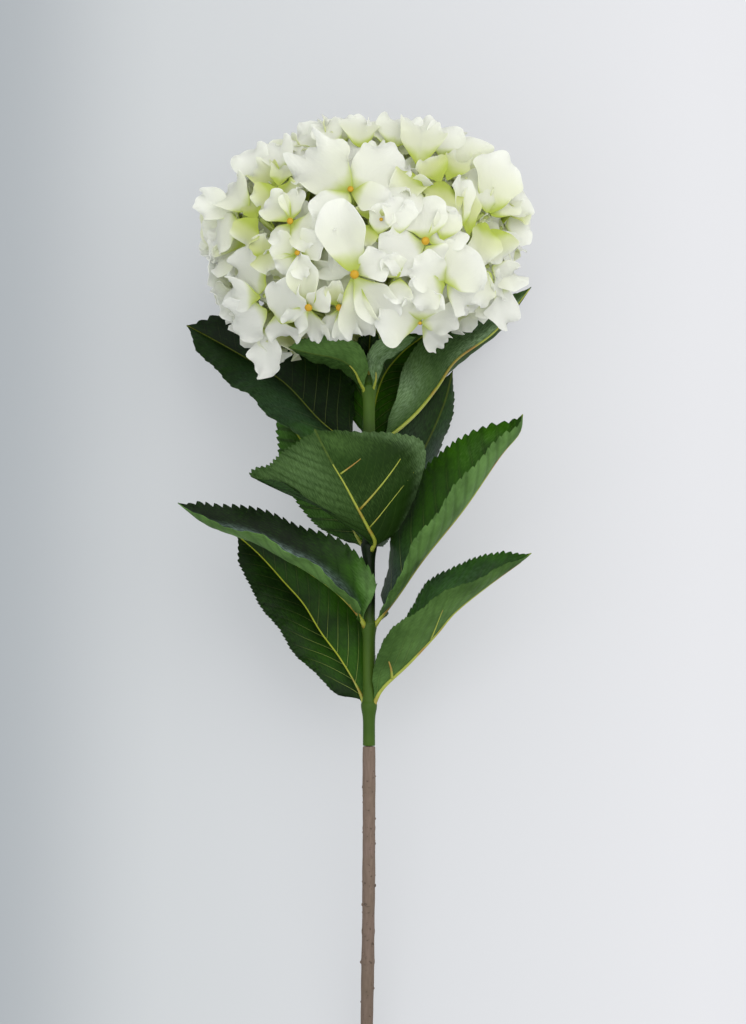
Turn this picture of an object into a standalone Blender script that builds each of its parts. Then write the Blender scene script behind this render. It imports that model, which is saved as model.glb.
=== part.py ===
"""A cut hydrangea: one white mophead bloom on a long leafy stem, lying on its side.

The frame is in metres, +Z up. The origin is under the flat floret that the head rests on, close
beside its middle, and the surface it lies on is z = 0. The stem runs along Y, cut end at -Y, and rises to the head.
Design numbers are millimetres along the stem's own axes: x to its right, s along it from the cut
end, and d square to it, away from the surface. laid() turns them into the frame.
"""

import math
import random

import bmesh
import bpy
from mathutils import Matrix, Vector

MM = 0.001
GAP = 0.3  # clearance between touching pieces
WELD = 0.001 * MM  # corners nearer than this are one corner

# Stem
STEM_TOP = 518.0
BROWN_TOP = 263.0
STEM_RADIUS = 3.7
BROWN_RADIUS = 3.9
END_LEAN = -4.0  # how far the cut end bows to the side
LEAN_LENGTH = 230.0
NODES_ON_STEM = (287.5, 335.8, 383.2, 446.8, 478.6)
COLLAR_RADIUS = 5.0
PEG_RADIUS = 2.0
PEG_LENGTH = 12.0
PEG_ROOT = 6.0  # how deep the peg starts inside the green stem
BARK_STEP = 14.0  # between the slight swellings of the brown stem
BARK_SWELL = 0.25
KNOB_COUNT = 20
KNOB_RADIUS = 1.5
KNOB_MARGIN = 12.0  # bare length at each end of the brown stem
CLEAR_FOOT = 60.0  # no knobs under the stem up to here, where it comes near the surface
KNOB_ROOT = 1.6
KNOB_RISE = 0.7

# Flower head
HEAD_S = 560.0
HEAD_HEIGHT = 95.0  # of its centre over the surface
CORE_RADII = (64.0, 45.0, 60.0)
FLORET_SEATS = (91.0, 76.0, 88.0)  # radii of the dome that the florets' centres lie on
FLORET_SIZE = 27.0  # from a floret's centre to a petal's tip
FLORET_COUNT = 56
LOWEST_FLORET = math.radians(138.0)  # from the top of the head
LOWEST_BENEATH = math.radians(116.0)  # the same on the side that lies down, clear of the leaves
FLORET_SPACING = 27.0
PETAL_THICKNESS = 0.9
STALK_RADIUS = 2.2
STALK_ROOT = 0.5  # where a stalk ends inside the core, as a share of the way out to its floret
EYE_HEIGHT = 2.4
PRESS_DEPTH = 9.0  # petals this near the surface start to lie flat on it
REST_OFFSET = 0.8  # from the middle of the floret the head rests on to the origin
RESTING_SPACE = 24.0  # kept free of other florets round the one the head rests on
RAY_COUNT = 6
RAY_ROUTE = ((0.0, 502.0), (8.0, 508.0), (20.0, 517.0), (26.0, 524.0))  # (distance out, s)
RAY_RADII = (2.4, 2.1, 1.9, 1.9)

# Leaves
BLADE_THICKNESS = 0.8
RIB_THICKNESS = 2.4
BLADE_ROWS = 10
PETIOLE_SHARE = 0.1
PETIOLE_HALF_WIDTH = 1.5
TOOTH = 1.9
FLUTTER = 1.2  # rise and fall of the margin along its length
SEAT_REACH = 30.0  # length of stem, either way, that a leaf's foot is fitted round
ARCH = 0.1  # rise of each half between rib and margin, as a share of its width

SLOPE = math.asin((HEAD_HEIGHT - BROWN_RADIUS) / HEAD_S)
WIDTH_STATIONS = (PETIOLE_SHARE, 0.12, 0.3, 0.5, 0.7, 0.9, 1.0)

# Each leaf: its midrib from inside the stem to the tip, then for the half to the left and the half
# to the right of it the widths at a few stations, and how far each half is raised off the plane
# square to d, in degrees, at the base, the middle and the tip. A half with a sweep reaches towards
# the tip as well, by that share of its width.
LEAVES = {
    "leaf_1_left": dict(
        rib=((-2, 475, 1), (-5.5, 482, 8), (-8.5, 488, 15), (-14, 493, 20), (-22, 496, 22),
             (-35, 498.5, 22), (-48, 502, 20)),
        left=(3, 7, 9, 8, 4), left_raise=(-30, -50, -50),
        right=(2, 9, 15, 14, 7), right_raise=(26, 32, 32),
    ),
    "leaf_1_right": dict(
        rib=((2, 475, 1), (5, 483, 8), (7, 491, 13), (11, 498, 17), (18, 503.5, 20),
             (28, 508, 22)),
        left=(2, 5, 8, 8, 4), left_raise=(30, 30, 30),
        right=(2, 5, 6, 5, 3), right_raise=(-30, -40, -40),
    ),
    "leaf_1_top": dict(
        rib=((0, 486, 2), (0, 491, 8), (0, 499, 12.5), (1, 513, 14)),
        left=(2, 6, 9, 8, 4), left_raise=(10, 10, 10),
        right=(2, 6, 9, 8, 4), right_raise=(10, 10, 10),
    ),
    "leaf_2_left": dict(
        rib=((-2, 444, -1), (-14, 447, -6), (-30, 459, -16), (-52, 482, -31), (-82, 501, -44),
             (-111, 517, -50)),
        left=(14, 29, 30, 26, 14), left_raise=(52, 50, 48),
        right=(16, 36, 36, 30, 15), right_raise=(-5, -8, -8),
    ),
    "leaf_2_right": dict(
        rib=((2, 444, -1), (12, 449, -6), (28, 463, -15), (41, 479, -27), (53, 496, -42),
             (77, 514, -58), (99, 541, -66)),
        left=(12, 27, 25, 16, 8), left_raise=(22, 0, -15),
        right=(10, 20, 20, 15, 8), right_raise=(-95, -90, -80),
    ),
    "leaf_2_back": dict(
        rib=((0, 444, -2), (2.5, 452, -11), (3.5, 468, -21), (9, 486, -29), (20, 499, -35),
             (32, 505, -39)),
        left=(6, 19, 20, 16, 8), left_raise=(0, 0, 0),
        right=(4, 13, 16, 13, 7), right_raise=(50, 45, 25),
    ),
    "leaf_3_front": dict(
        rib=((1, 380, 2), (3.5, 386, 8), (-1, 395, 14), (-8, 408, 20), (-15, 421, 24), (-21, 431, 27),
             (-27, 442, 29), (-32.5, 453, 30)),
        left=(32, 47, 33, 20, 6), left_raise=(-6, -8, -12),
        right=(15, 42, 55, 40, 14), right_raise=(-10, -16, -16),
        sweep=(1.15, 0.0),
    ),
    "leaf_3_right": dict(
        rib=((1, 380, -2), (7, 390, -20), (18, 413, -42), (34, 443, -57), (45.5, 469, -63),
             (51, 490, -64)),
        left=(7, 25, 30, 24, 11), left_raise=(0, 5, 5),
        right=(6, 14, 17, 14, 7), right_raise=(-50, -50, -50),
    ),
    "leaf_3_left": dict(
        rib=((-1.5, 380, -1), (-8, 390, -11), (-20, 412, -28), (-34, 435, -39), (-45, 453, -45),
             (-54, 468, -48)),
        left=(6, 17, 21, 18, 9), left_raise=(-10, -10, -10),
        right=(5, 15, 19, 18, 9), right_raise=(10, 5, 5),
    ),
    "leaf_4_left": dict(
        rib=((-1.5, 333, 1), (-7, 343, 7), (-18, 355, 10), (-35, 367.5, 13), (-49, 375.5, 15),
             (-66.5, 385, 17), (-82, 391, 19), (-98, 397, 21), (-114, 409, 23)),
        left=(14, 24, 26, 22, 10), left_raise=(99, 101, 100),
        right=(19, 25, 20, 18, 9), right_raise=(5, -12, -15),
    ),
    "leaf_4_right": dict(
        rib=((1.5, 333, 0.4), (9, 343, 3), (17, 354, 5), (32.5, 376, 7), (56.5, 405.5, 10),
             (78, 436.5, 12), (90, 451, 12), (92, 462, 12)),
        left=(12, 28, 30, 25, 12), left_raise=(86, 68, 66),
        right=(16, 29, 36, 32, 17), right_raise=(-100, -150, -150),
    ),
    "leaf_5_left": dict(
        rib=((-1.5, 284, 0), (-6, 296, -3), (-17.5, 315.5, -7), (-29, 331, -11), (-39.5, 348, -14),
             (-51, 361, -17), (-65.5, 377, -20), (-80, 390, -21)),
        left=(13, 20, 22, 21, 12), left_raise=(25, 25, 25),
        right=(14, 24, 26, 21, 10), right_raise=(-22, -5, 5),
    ),
    "leaf_5_right": dict(
        rib=((1.2, 283.7, 0.3), (8, 298, 4), (23.5, 313, 8), (40, 330.5, 12), (51.5, 344, 14),
             (71.5, 360, 16), (91, 374, 17), (97, 379, 17)),
        left=(8, 26, 27, 19, 8), left_raise=(12, 50, 70),
        right=(8, 18, 27, 24, 12), right_raise=(-145, -147, -152),
    ),
}

# Florets that give the face of the head its character: centre x and s, how far the face of the
# floret leans to the right and towards the top, its turn in degrees, and its size.
SHOW_FLORETS = (
    (-11, 594, 0.0, 0.55, 45, 1.2),
    (-8, 542, 0.25, -0.1, 30, 1.1),
    (-35, 524, -0.1, -0.1, 20, 0.95),
    (33, 563, 0.1, 0.1, 40, 1.0),
    (-46, 574, -0.3, 0.2, 10, 0.95),
    (-67, 540, -0.5, -0.1, 0, 1.05),
    (46, 538, 0.2, 0.0, 45, 1.05),
    (30, 513, 0.1, -0.5, 45, 1.05),
    (58, 588, 0.3, 0.3, 70, 1.0),
    (-69, 513, 0.4, 0.3, 45, 1.1),
    (75, 532, 0.3, -0.3, 20, 1.05),
    (-80, 580, -0.4, 0.2, 30, 1.05),
    (82, 570, 0.4, 0.1, 60, 1.05),
)

NAME = "cut_hydrangea"


def clear_scene():
    """Removes every object of the startup scene."""
    for obj in list(bpy.data.objects):
        bpy.data.objects.remove(obj, do_unlink=True)


def collection(name):
    made = bpy.data.collections.new(name)
    bpy.context.scene.collection.children.link(made)
    return made


def material(name, colour, roughness):
    """A Principled material with a linear base colour."""
    made = bpy.data.materials.new(name)
    made.use_nodes = True
    shader = made.node_tree.nodes["Principled BSDF"]
    shader.inputs["Base Color"].default_value = (*colour, 1.0)
    shader.inputs["Roughness"].default_value = roughness
    shader.inputs["Metallic"].default_value = 0.0
    return made


def laid(x, s, d):
    """Where a point of the stem's own axes, in millimetres, lies in the frame."""
    along = s - HEAD_S
    y = along * math.cos(SLOPE) - d * math.sin(SLOPE)
    z = HEAD_HEIGHT + along * math.sin(SLOPE) + d * math.cos(SLOPE)
    return Vector((x, y, z)) * MM


def pressed(point):
    """The same point, or where the surface pushes it to: petals flatten and stay above it."""
    depth = PRESS_DEPTH * MM
    floor = (GAP + PETAL_THICKNESS) * MM
    if point.z >= depth:
        return point
    fall = (depth - point.z) / (depth - floor)
    return Vector((point.x, point.y, floor + (depth - floor) * math.exp(-fall)))


def stem_x(s):
    """Sideways place of the stem's centre line."""
    return END_LEAN * max(0.0, 1.0 - s / LEAN_LENGTH) ** 2


def smooth_path(points, count):
    """Points evenly spaced in parameter on a Catmull-Rom curve through the given points."""
    knots = [Vector(p) for p in points]
    knots = [2 * knots[0] - knots[1], *knots, 2 * knots[-1] - knots[-2]]
    spans = len(knots) - 3
    path = []
    for i in range(count):
        place = i / (count - 1) * spans
        span = min(int(place), spans - 1)
        t = place - span
        a, b, c, e = knots[span : span + 4]
        path.append(0.5 * (2 * b + (c - a) * t + (2 * a - 5 * b + 4 * c - e) * t**2
                           + (3 * b - a - 3 * c + e) * t**3))
    return path


def by_length(path, count):
    """The same path with its points at equal distances."""
    reach = [0.0]
    for a, b in zip(path, path[1:]):
        reach.append(reach[-1] + (b - a).length)
    even = []
    for i in range(count):
        target = reach[-1] * i / (count - 1)
        k = next(j for j in range(1, len(reach)) if reach[j] >= target - 1e-9)
        share = (target - reach[k - 1]) / (reach[k] - reach[k - 1])
        even.append(path[k - 1].lerp(path[k], share))
    return even


def eased(stations, values, u):
    """Smooth value at u between the values at the stations."""
    if u <= stations[0]:
        return values[0]
    k = next((i for i in range(1, len(stations)) if stations[i] >= u), len(stations) - 1)
    t = (u - stations[k - 1]) / (stations[k] - stations[k - 1])
    before = values[max(k - 2, 0)]
    after = values[min(k + 1, len(values) - 1)]
    a, b = values[k - 1], values[k]
    curve = 2 * a + (b - before) * t + (2 * before - 5 * a + 4 * b - after) * t**2
    return 0.5 * (curve + (3 * a - before - 3 * b + after) * t**3)


def mesh_object(name, mesh, group, look=None):
    obj = bpy.data.objects.new(name, mesh)
    if look:
        mesh.materials.clear()
        mesh.materials.append(look)
    group.objects.link(obj)
    return obj


def applied(obj):
    """The object with its modifiers made part of its mesh."""
    graph = bpy.context.evaluated_depsgraph_get()
    graph.update()
    mesh = bpy.data.meshes.new_from_object(obj.evaluated_get(graph))
    obj.modifiers.clear()
    obj.data = mesh


def rod(name, points, radii, group, look=None, sides_resolution=2):
    """A round rod along points in the frame, with a radius in millimetres at each, as a mesh."""
    curve = bpy.data.curves.new(name, "CURVE")
    curve.dimensions = "3D"
    curve.bevel_depth = MM
    curve.bevel_resolution = sides_resolution
    curve.use_fill_caps = True
    spline = curve.splines.new("POLY")
    spline.points.add(len(points) - 1)
    for knot, point, radius in zip(spline.points, points, radii):
        knot.co = (*point, 1.0)
        knot.radius = radius
    guide = bpy.data.objects.new(name + "_guide", curve)
    group.objects.link(guide)
    graph = bpy.context.evaluated_depsgraph_get()
    graph.update()
    mesh = bpy.data.meshes.new_from_object(guide.evaluated_get(graph))
    bpy.data.objects.remove(guide, do_unlink=True)
    work = bmesh.new()
    work.from_mesh(mesh)
    bmesh.ops.remove_doubles(work, verts=work.verts, dist=1e-6)
    bmesh.ops.recalc_face_normals(work, faces=work.faces)
    work.to_mesh(mesh)
    work.free()
    return mesh_object(name, mesh, group, look)


def boolean(obj, operation, group, solver="EXACT"):
    """Joins or cuts obj with all the objects of a collection, which are then removed."""
    step = obj.modifiers.new(operation.lower(), "BOOLEAN")
    step.operation = operation
    step.solver = solver
    step.operand_type = "COLLECTION"
    step.collection = group
    applied(obj)
    for used in list(group.objects):
        bpy.data.objects.remove(used, do_unlink=True)


def face_outwards(obj):
    """Turns the faces of a closed mesh outwards."""
    work = bmesh.new()
    work.from_mesh(obj.data)
    bmesh.ops.recalc_face_normals(work, faces=work.faces)
    work.to_mesh(obj.data)
    work.free()


def one_body(obj):
    """Keeps the largest connected body of the mesh, split into triangles, with slivers removed."""
    work = bmesh.new()
    work.from_mesh(obj.data)
    bmesh.ops.remove_doubles(work, verts=work.verts, dist=WELD)
    bmesh.ops.dissolve_degenerate(work, edges=work.edges, dist=WELD)
    left = set(work.verts)
    bodies = []
    while left:
        todo = [left.pop()]
        body = set(todo)
        while todo:
            for edge in todo.pop().link_edges:
                for vert in edge.verts:
                    if vert in left:
                        left.remove(vert)
                        body.add(vert)
                        todo.append(vert)
        bodies.append(body)
    bodies.sort(key=len)
    for body in bodies[:-1]:
        bmesh.ops.delete(work, geom=list(body), context="VERTS")
    split_to_triangles(work)
    work.to_mesh(obj.data)
    work.free()


def split_to_triangles(work):
    """Splits every face into triangles so that no two faces get the same new edge.

    Where two neighbouring faces were split along one line, the first is split the other way."""
    origin = work.faces.layers.int.new("origin")
    for index, face in enumerate(work.faces):
        face[origin] = index
    bmesh.ops.triangulate(work, faces=work.faces)
    for edge in [edge for edge in work.edges if len(edge.link_faces) > 2]:
        pairs = {}
        for face in edge.link_faces:
            pairs.setdefault(face[origin], []).append(face)
        first, second = next(pair for pair in pairs.values() if len(pair) == 2)
        loop = next(loop for loop in first.loops if loop.edge == edge)
        a, b, c = loop.vert, loop.link_loop_next.vert, loop.link_loop_prev.vert
        d = next(vert for vert in second.verts if vert not in edge.verts)
        bmesh.ops.delete(work, geom=[first, second], context="FACES_ONLY")
        work.faces.new((c, a, d))
        work.faces.new((d, b, c))


def stem_points(low, high, step):
    """Heights along the stem from low to high, at most step apart."""
    count = max(2, math.ceil((high - low) / step) + 1)
    return [low + (high - low) * i / (count - 1) for i in range(count)]


def green_profile():
    """(s, radius) of the green stem: slim, with a collar at each pair of leaves."""
    profile = [(s, STEM_RADIUS) for s in (BROWN_TOP + GAP, STEM_TOP)]
    for s in NODES_ON_STEM:
        for offset, radius in ((-8, STEM_RADIUS), (-3, COLLAR_RADIUS), (2, COLLAR_RADIUS - 0.3),
                               (7, STEM_RADIUS)):
            profile.append((s + offset, radius))
    return sorted(profile)


def fat_stem(name, group, low, high):
    """The stem's outline between two heights, grown by the gap, to cut seats in what meets it."""
    profile = [(s, r) for s, r in green_profile() if low < s < high]
    radius_low = profile[0][1] if profile else STEM_RADIUS
    radius_high = profile[-1][1] if profile else STEM_RADIUS
    profile = [(low, radius_low), *profile, (high, radius_high)]
    points = [laid(stem_x(s), s, 0) for s, _ in profile]
    rod(name, points, [r + GAP for _, r in profile], group, sides_resolution=3)


def core_mesh(name, group, clearance=0.0, look=None):
    """The body of the head under the florets: an ellipsoid, turned with the stem."""
    work = bmesh.new()
    bmesh.ops.create_uvsphere(work, u_segments=12, v_segments=8, radius=1.0)
    for vert in work.verts:
        x, d, s = vert.co
        reach = [value * (radius + clearance) for value, radius in zip((x, s, d), CORE_RADII)]
        vert.co = laid(reach[0], HEAD_S + reach[1], reach[2])
    work.normal_update()
    bmesh.ops.recalc_face_normals(work, faces=work.faces)
    mesh = bpy.data.meshes.new(name)
    work.to_mesh(mesh)
    work.free()
    return mesh_object(name, mesh, group, look)


def seat_of(direction):
    """Centre and outward normal, in the stem's axes, of a floret seen from the head's middle."""
    place = Vector([a * b for a, b in zip(direction, FLORET_SEATS)])
    normal = Vector([a / b for a, b in zip(direction, FLORET_SEATS)]).normalized()
    return place, normal


def floret_seats():
    """(place, normal, turn, size) of each floret, from the head's middle, in the stem's axes.

    The one the head rests on comes first, then the show florets, and the rest fill the dome in a
    golden-angle spiral wherever it is still bare."""
    draw = random.Random(11)
    down = Vector((0.0, -math.sin(SLOPE), -math.cos(SLOPE)))
    seats = []
    for x, s, lean_x, lean_s, turn, size in SHOW_FLORETS:
        across = Vector((x, s - HEAD_S, 0.0))
        share = sum((a / b) ** 2 for a, b in zip(across, FLORET_SEATS))
        across.z = FLORET_SEATS[2] * math.sqrt(max(0.0, 1.0 - share))
        normal = Vector([a / b**2 for a, b in zip(across, FLORET_SEATS)]).normalized()
        normal = (normal + Vector((lean_x, lean_s, 0.0))).normalized()
        seats.append((across, normal, math.radians(turn), size))
    for i in range(FLORET_COUNT):
        up = 1.0 - (i + 0.5) / FLORET_COUNT * (1.0 - math.cos(LOWEST_FLORET))
        around = i * math.pi * (3.0 - math.sqrt(5.0))
        ring = math.sqrt(1.0 - up * up)
        direction = Vector((ring * math.cos(around), up, ring * math.sin(around)))
        if direction.z < -0.05 and up < math.cos(LOWEST_BENEATH):
            continue
        place, normal = seat_of(direction)
        place = place * draw.uniform(0.95, 1.03)
        lean = Vector([draw.uniform(-0.35, 0.35) for _ in range(3)])
        turn = draw.uniform(0.0, math.pi / 2)
        size = draw.uniform(0.9, 1.08)
        near = min((place - other[0]).length for other in seats)
        if near < FLORET_SPACING or (place - down * HEAD_HEIGHT).length < RESTING_SPACE:
            continue
        seats.append((place, (normal + lean).normalized(), turn, size))
    return seats


def floret_plate(size, draw):
    """The middle surface of a four-petalled floret lying in its own plane.

    Each petal spans a quarter turn, is bluntly round, and bends back towards its tip; its margin
    waves up and down. A small square at the centre carries the eye above and the stalk below."""
    work = bmesh.new()
    hub = []
    rim = []
    middles = []
    for petal in range(4):
        heading = petal * math.pi / 2 + draw.uniform(-0.12, 0.12)
        length = size * draw.uniform(0.92, 1.06)
        droop = draw.uniform(0.06, 0.26)
        wave = draw.choice((-1, 1)) * draw.uniform(0.04, 0.1)
        notch = (petal - 0.5) * math.pi / 2
        outline = [(notch, 0.36, -0.02), (heading - 0.6, 0.8, -droop + wave),
                   (heading, 1.0, -droop * 1.6), (heading + 0.6, 0.8, -droop - wave)]
        for angle, reach, height in outline:
            spot = Vector((math.cos(angle) * reach, math.sin(angle) * reach, height)) * length
            rim.append(work.verts.new(spot))
        spot = Vector((math.cos(heading) * 0.62, math.sin(heading) * 0.62, 0.04)) * length
        middles.append(work.verts.new(spot))
        spot = Vector((math.cos(notch), math.sin(notch), 0.0)) * STALK_RADIUS
        hub.append(work.verts.new(spot))
    for petal, middle in enumerate(middles):
        start = petal * 4
        ring = [hub[petal]] + [rim[(start + k) % len(rim)] for k in range(5)]
        ring.append(hub[(petal + 1) % 4])
        for a, b in zip(ring, ring[1:] + ring[:1]):
            work.faces.new((middle, a, b))
    work.faces.new(hub).material_index = 1
    return work


def drawn_out(work, face, steps):
    """Extrudes a face through steps of (offset, scale about its middle)."""
    for offset, scale in steps:
        face = bmesh.ops.extrude_discrete_faces(work, faces=[face])["faces"][0]
        middle = face.calc_center_median() + offset
        for vert in face.verts:
            vert.co = middle + (vert.co + offset - middle) * scale


def add_floret(index, place, normal, turn, size, group, flat_at=None):
    """One floret with its stalk from the core, as a closed body in the group.

    With flat_at it lies level at that height over the surface, as the floret under the head."""
    draw = random.Random(100 + index)
    work = floret_plate(size * FLORET_SIZE, draw)
    side = normal.cross(Vector((0.31, 0.2, 0.93))).normalized()
    frame = Matrix((side, normal.cross(side), normal)).transposed() @ Matrix.Rotation(turn, 3, "Z")
    shift = Vector((0.0 if flat_at is None else -REST_OFFSET, 0.0, 0.0))
    for vert in work.verts:
        spot = place + frame @ (vert.co + shift)
        vert.co = laid(spot.x, HEAD_S + spot.y, spot.z)
        if flat_at is None:
            vert.co = pressed(vert.co)
        else:
            vert.co.z = flat_at * MM
    mesh = bpy.data.meshes.new(f"floret_{index}")
    work.to_mesh(mesh)
    work.free()
    plate = mesh_object(f"floret_{index}", mesh, group)
    wall = plate.modifiers.new("wall", "SOLIDIFY")
    wall.thickness = PETAL_THICKNESS * MM
    wall.offset = 0.0
    applied(plate)
    work = bmesh.new()
    work.from_mesh(plate.data)
    bmesh.ops.recalc_face_normals(work, faces=work.faces)
    out = laid(*(normal + Vector((0, HEAD_S, 0)))) - laid(0, HEAD_S, 0)
    hubs = [face for face in work.faces if face.material_index == 1]
    under, top = sorted(hubs, key=lambda face: face.calc_center_median().dot(out))
    root = laid(*(place * STALK_ROOT + Vector((0, HEAD_S, 0)))) - under.calc_center_median()
    drawn_out(work, under, [(root, 1.3)])
    if flat_at is None:
        drawn_out(work, top, [(out * EYE_HEIGHT, 1.2)])
    for face in work.faces:
        face.material_index = 0
    work.to_mesh(plate.data)
    work.free()


def build_head(parts, helpers):
    """The bloom: a core with florets standing on short stalks all over it, as one body."""
    look = material("petal_white", (0.80, 0.83, 0.70), 0.55)
    head = core_mesh("flower_head", parts, look=look)
    rest_height = PETAL_THICKNESS / 2
    down = Vector((0.0, -math.sin(SLOPE), -math.cos(SLOPE)))
    add_floret(0, down * (HEAD_HEIGHT - rest_height), down, 0.4, 1.0, helpers, flat_at=rest_height)
    for index, (place, normal, turn, size) in enumerate(floret_seats(), 1):
        add_floret(index, place, normal, turn, size, helpers)
    boolean(head, "UNION", helpers)
    one_body(head)


def build_stem(parts, helpers):
    """The green stem with its collars, the rays that carry the head, and a peg at its foot."""
    look = material("stem_green", (0.055, 0.14, 0.025), 0.4)
    profile = green_profile()
    points = [laid(stem_x(s), s, 0) for s, _ in profile]
    stem = rod("stem_green", points, [r for _, r in profile], parts, look, sides_resolution=3)
    foot = [laid(stem_x(s), s, 0) for s in (BROWN_TOP - PEG_LENGTH, BROWN_TOP + PEG_ROOT)]
    rod("peg", foot, (PEG_RADIUS, PEG_RADIUS), helpers)
    for ray in range(RAY_COUNT):
        around = ray * 2 * math.pi / RAY_COUNT
        out = Vector((math.cos(around), math.sin(around)))
        points = [laid(out.x * r, s, out.y * r) for r, s in RAY_ROUTE]
        rod(f"ray_{ray}", points, RAY_RADII, helpers, sides_resolution=1)
    boolean(stem, "UNION", helpers)
    core_mesh("head_clearance", helpers, clearance=GAP)
    boolean(stem, "DIFFERENCE", helpers)
    one_body(stem)


def build_brown_stem(parts, helpers):
    """The bark-covered foot of the stem, with small knobs and a socket for the peg."""
    look = material("bark_brown", (0.26, 0.18, 0.13), 0.85)
    heights = stem_points(0.0, BROWN_TOP, BARK_STEP)
    draw = random.Random(5)
    radii = [BROWN_RADIUS + draw.uniform(-BARK_SWELL, BARK_SWELL) for _ in heights]
    points = [laid(stem_x(s), s, 0) for s in heights]
    radii[0] = BROWN_RADIUS - 0.1
    stem = rod("stem_brown", points, radii, parts, look, sides_resolution=3)
    for knob in range(KNOB_COUNT):
        spread = (BROWN_TOP - 2 * KNOB_MARGIN) / KNOB_COUNT
        s = KNOB_MARGIN + (knob + draw.uniform(-0.3, 0.3)) * spread
        around = draw.uniform(0.0, 2 * math.pi)
        out = Vector((math.cos(around), math.sin(around)))
        reach = (BROWN_RADIUS - KNOB_ROOT, BROWN_RADIUS + KNOB_RISE)
        if out.y < -0.8 and s < CLEAR_FOOT:
            continue
        ends = [laid(stem_x(s) + out.x * r, s, out.y * r) for r in reach]
        rod(f"knob_{knob}", ends, (KNOB_RADIUS, KNOB_RADIUS * 0.6), helpers, sides_resolution=1)
    boolean(stem, "UNION", helpers)
    hole = [laid(stem_x(s), s, 0) for s in (BROWN_TOP - PEG_LENGTH - 1.0, BROWN_TOP + 5.0)]
    rod("socket", hole, (PEG_RADIUS + GAP,) * 2, helpers)
    boolean(stem, "DIFFERENCE", helpers)
    one_body(stem)


def half_frame(tangent, side, lift):
    """Direction from the rib to the margin: side is 1 for the left half and -1 for the right."""
    across = Vector((0.0, 0.0, 1.0)).cross(tangent).normalized()
    away = tangent.cross(across).normalized()
    angle = math.radians(lift)
    return across * (side * math.cos(angle)) + away * math.sin(angle)


def blade_half(spec, which, side, rib, tangents):
    """Rows of one half: the point at its middle, the point at its margin and the way out."""
    widths = (PETIOLE_HALF_WIDTH, *spec[which], 0.0)
    lifts = spec[which + "_raise"]
    result = []
    base, middle, tip = lifts
    sweep = spec.get("sweep", (0.0, 0.0))[side < 0]
    for row in range(BLADE_ROWS + 1):
        u = row / BLADE_ROWS
        lift = base * (1 - u) * (1 - 2 * u) + middle * 4 * u * (1 - u) + tip * u * (2 * u - 1)
        opened = min(1.0, max(0.0, (u - 0.02) / PETIOLE_SHARE))
        lift *= opened * opened * (3.0 - 2.0 * opened)
        out = half_frame(tangents[row], side, lift)
        bulge = out.cross(tangents[row]) * side
        bulge = bulge if bulge.z > 0 else -bulge
        width = widths_at(widths, u)
        flutter = FLUTTER * math.sin(2.6 * row + side) * min(1.0, width / 12.0)
        way = out + tangents[row] * sweep
        result.append((rib[row] + way * width * 0.52 + bulge * width * ARCH,
                       rib[row] + way * width + bulge * flutter, way.normalized()))
    return result


def widths_at(widths, u):
    """Half width at u: the petiole's own up to its end, then through the widths at the stations."""
    if u <= PETIOLE_SHARE * 0.6:
        return PETIOLE_HALF_WIDTH
    stations = (PETIOLE_SHARE * 0.6, *WIDTH_STATIONS[1:])
    return max(0.2, eased(stations, widths, u))


def build_leaf(name, spec, parts, helpers, look):
    """A toothed blade on its petiole, folded along a thicker midrib and seated on the stem."""
    rows = BLADE_ROWS
    rib = by_length(smooth_path(spec["rib"], 60), rows + 1)
    tangents = [(rib[min(i + 2, rows)] - rib[max(i - 2, 0)]).normalized() for i in range(rows + 1)]
    work = bmesh.new()
    spine = [work.verts.new(laid(*p)) for p in rib]
    for which, side in (("left", 1), ("right", -1)):
        half = blade_half(spec, which, side, rib, tangents)
        middle = [work.verts.new(laid(*point)) for point, _, _ in half[:-1]]
        margin = [work.verts.new(laid(*point)) for _, point, _ in half[:-1]]
        for row in range(rows):
            last = row == rows - 1
            spot = (half[row][1].lerp(half[row + 1][1], 0.62)
                    + half[row][2] * (0.0 if row == 0 else TOOTH))
            tooth = work.verts.new(laid(*spot))
            if last:
                faces = [(spine[row], middle[row], spine[row + 1]),
                         (middle[row], tooth, spine[row + 1]), (middle[row], margin[row], tooth)]
            else:
                faces = [(spine[row], middle[row], middle[row + 1]),
                         (spine[row], middle[row + 1], spine[row + 1]),
                         (middle[row], margin[row], tooth), (middle[row], tooth, middle[row + 1]),
                         (tooth, margin[row + 1], middle[row + 1])]
            for face in faces:
                work.faces.new(face if side > 0 else face[::-1])
    mesh = bpy.data.meshes.new(name)
    work.to_mesh(mesh)
    work.free()
    leaf = mesh_object(name, mesh, parts, look)
    thick = leaf.vertex_groups.new(name="rib")
    thick.add(list(range(rows + 1)), 1.0, "REPLACE")
    wall = leaf.modifiers.new("wall", "SOLIDIFY")
    wall.thickness = RIB_THICKNESS * MM
    wall.offset = 0.0
    wall.vertex_group = "rib"
    wall.thickness_vertex_group = BLADE_THICKNESS / RIB_THICKNESS
    applied(leaf)
    face_outwards(leaf)
    seat_s = spec["rib"][0][1]
    fat_stem("stem_clearance", helpers, seat_s - SEAT_REACH, seat_s + SEAT_REACH)
    boolean(leaf, "DIFFERENCE", helpers, solver="MANIFOLD")
    one_body(leaf)


def build_leaves(parts, helpers):
    look = material("leaf_green", (0.035, 0.105, 0.02), 0.45)
    for name, spec in LEAVES.items():
        build_leaf(name, spec, parts, helpers, look)


clear_scene()
parts_group = collection(NAME)
helper_group = collection("cutters")
build_brown_stem(parts_group, helper_group)
build_stem(parts_group, helper_group)
build_leaves(parts_group, helper_group)
build_head(parts_group, helper_group)
bpy.data.collections.remove(helper_group)
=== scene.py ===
"""Looks of the cut hydrangea: a white silk mophead on a leafy moulded stem, lying on a pale table."""

import math
import random

import bmesh
import bpy
from mathutils import Matrix, Vector


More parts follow.
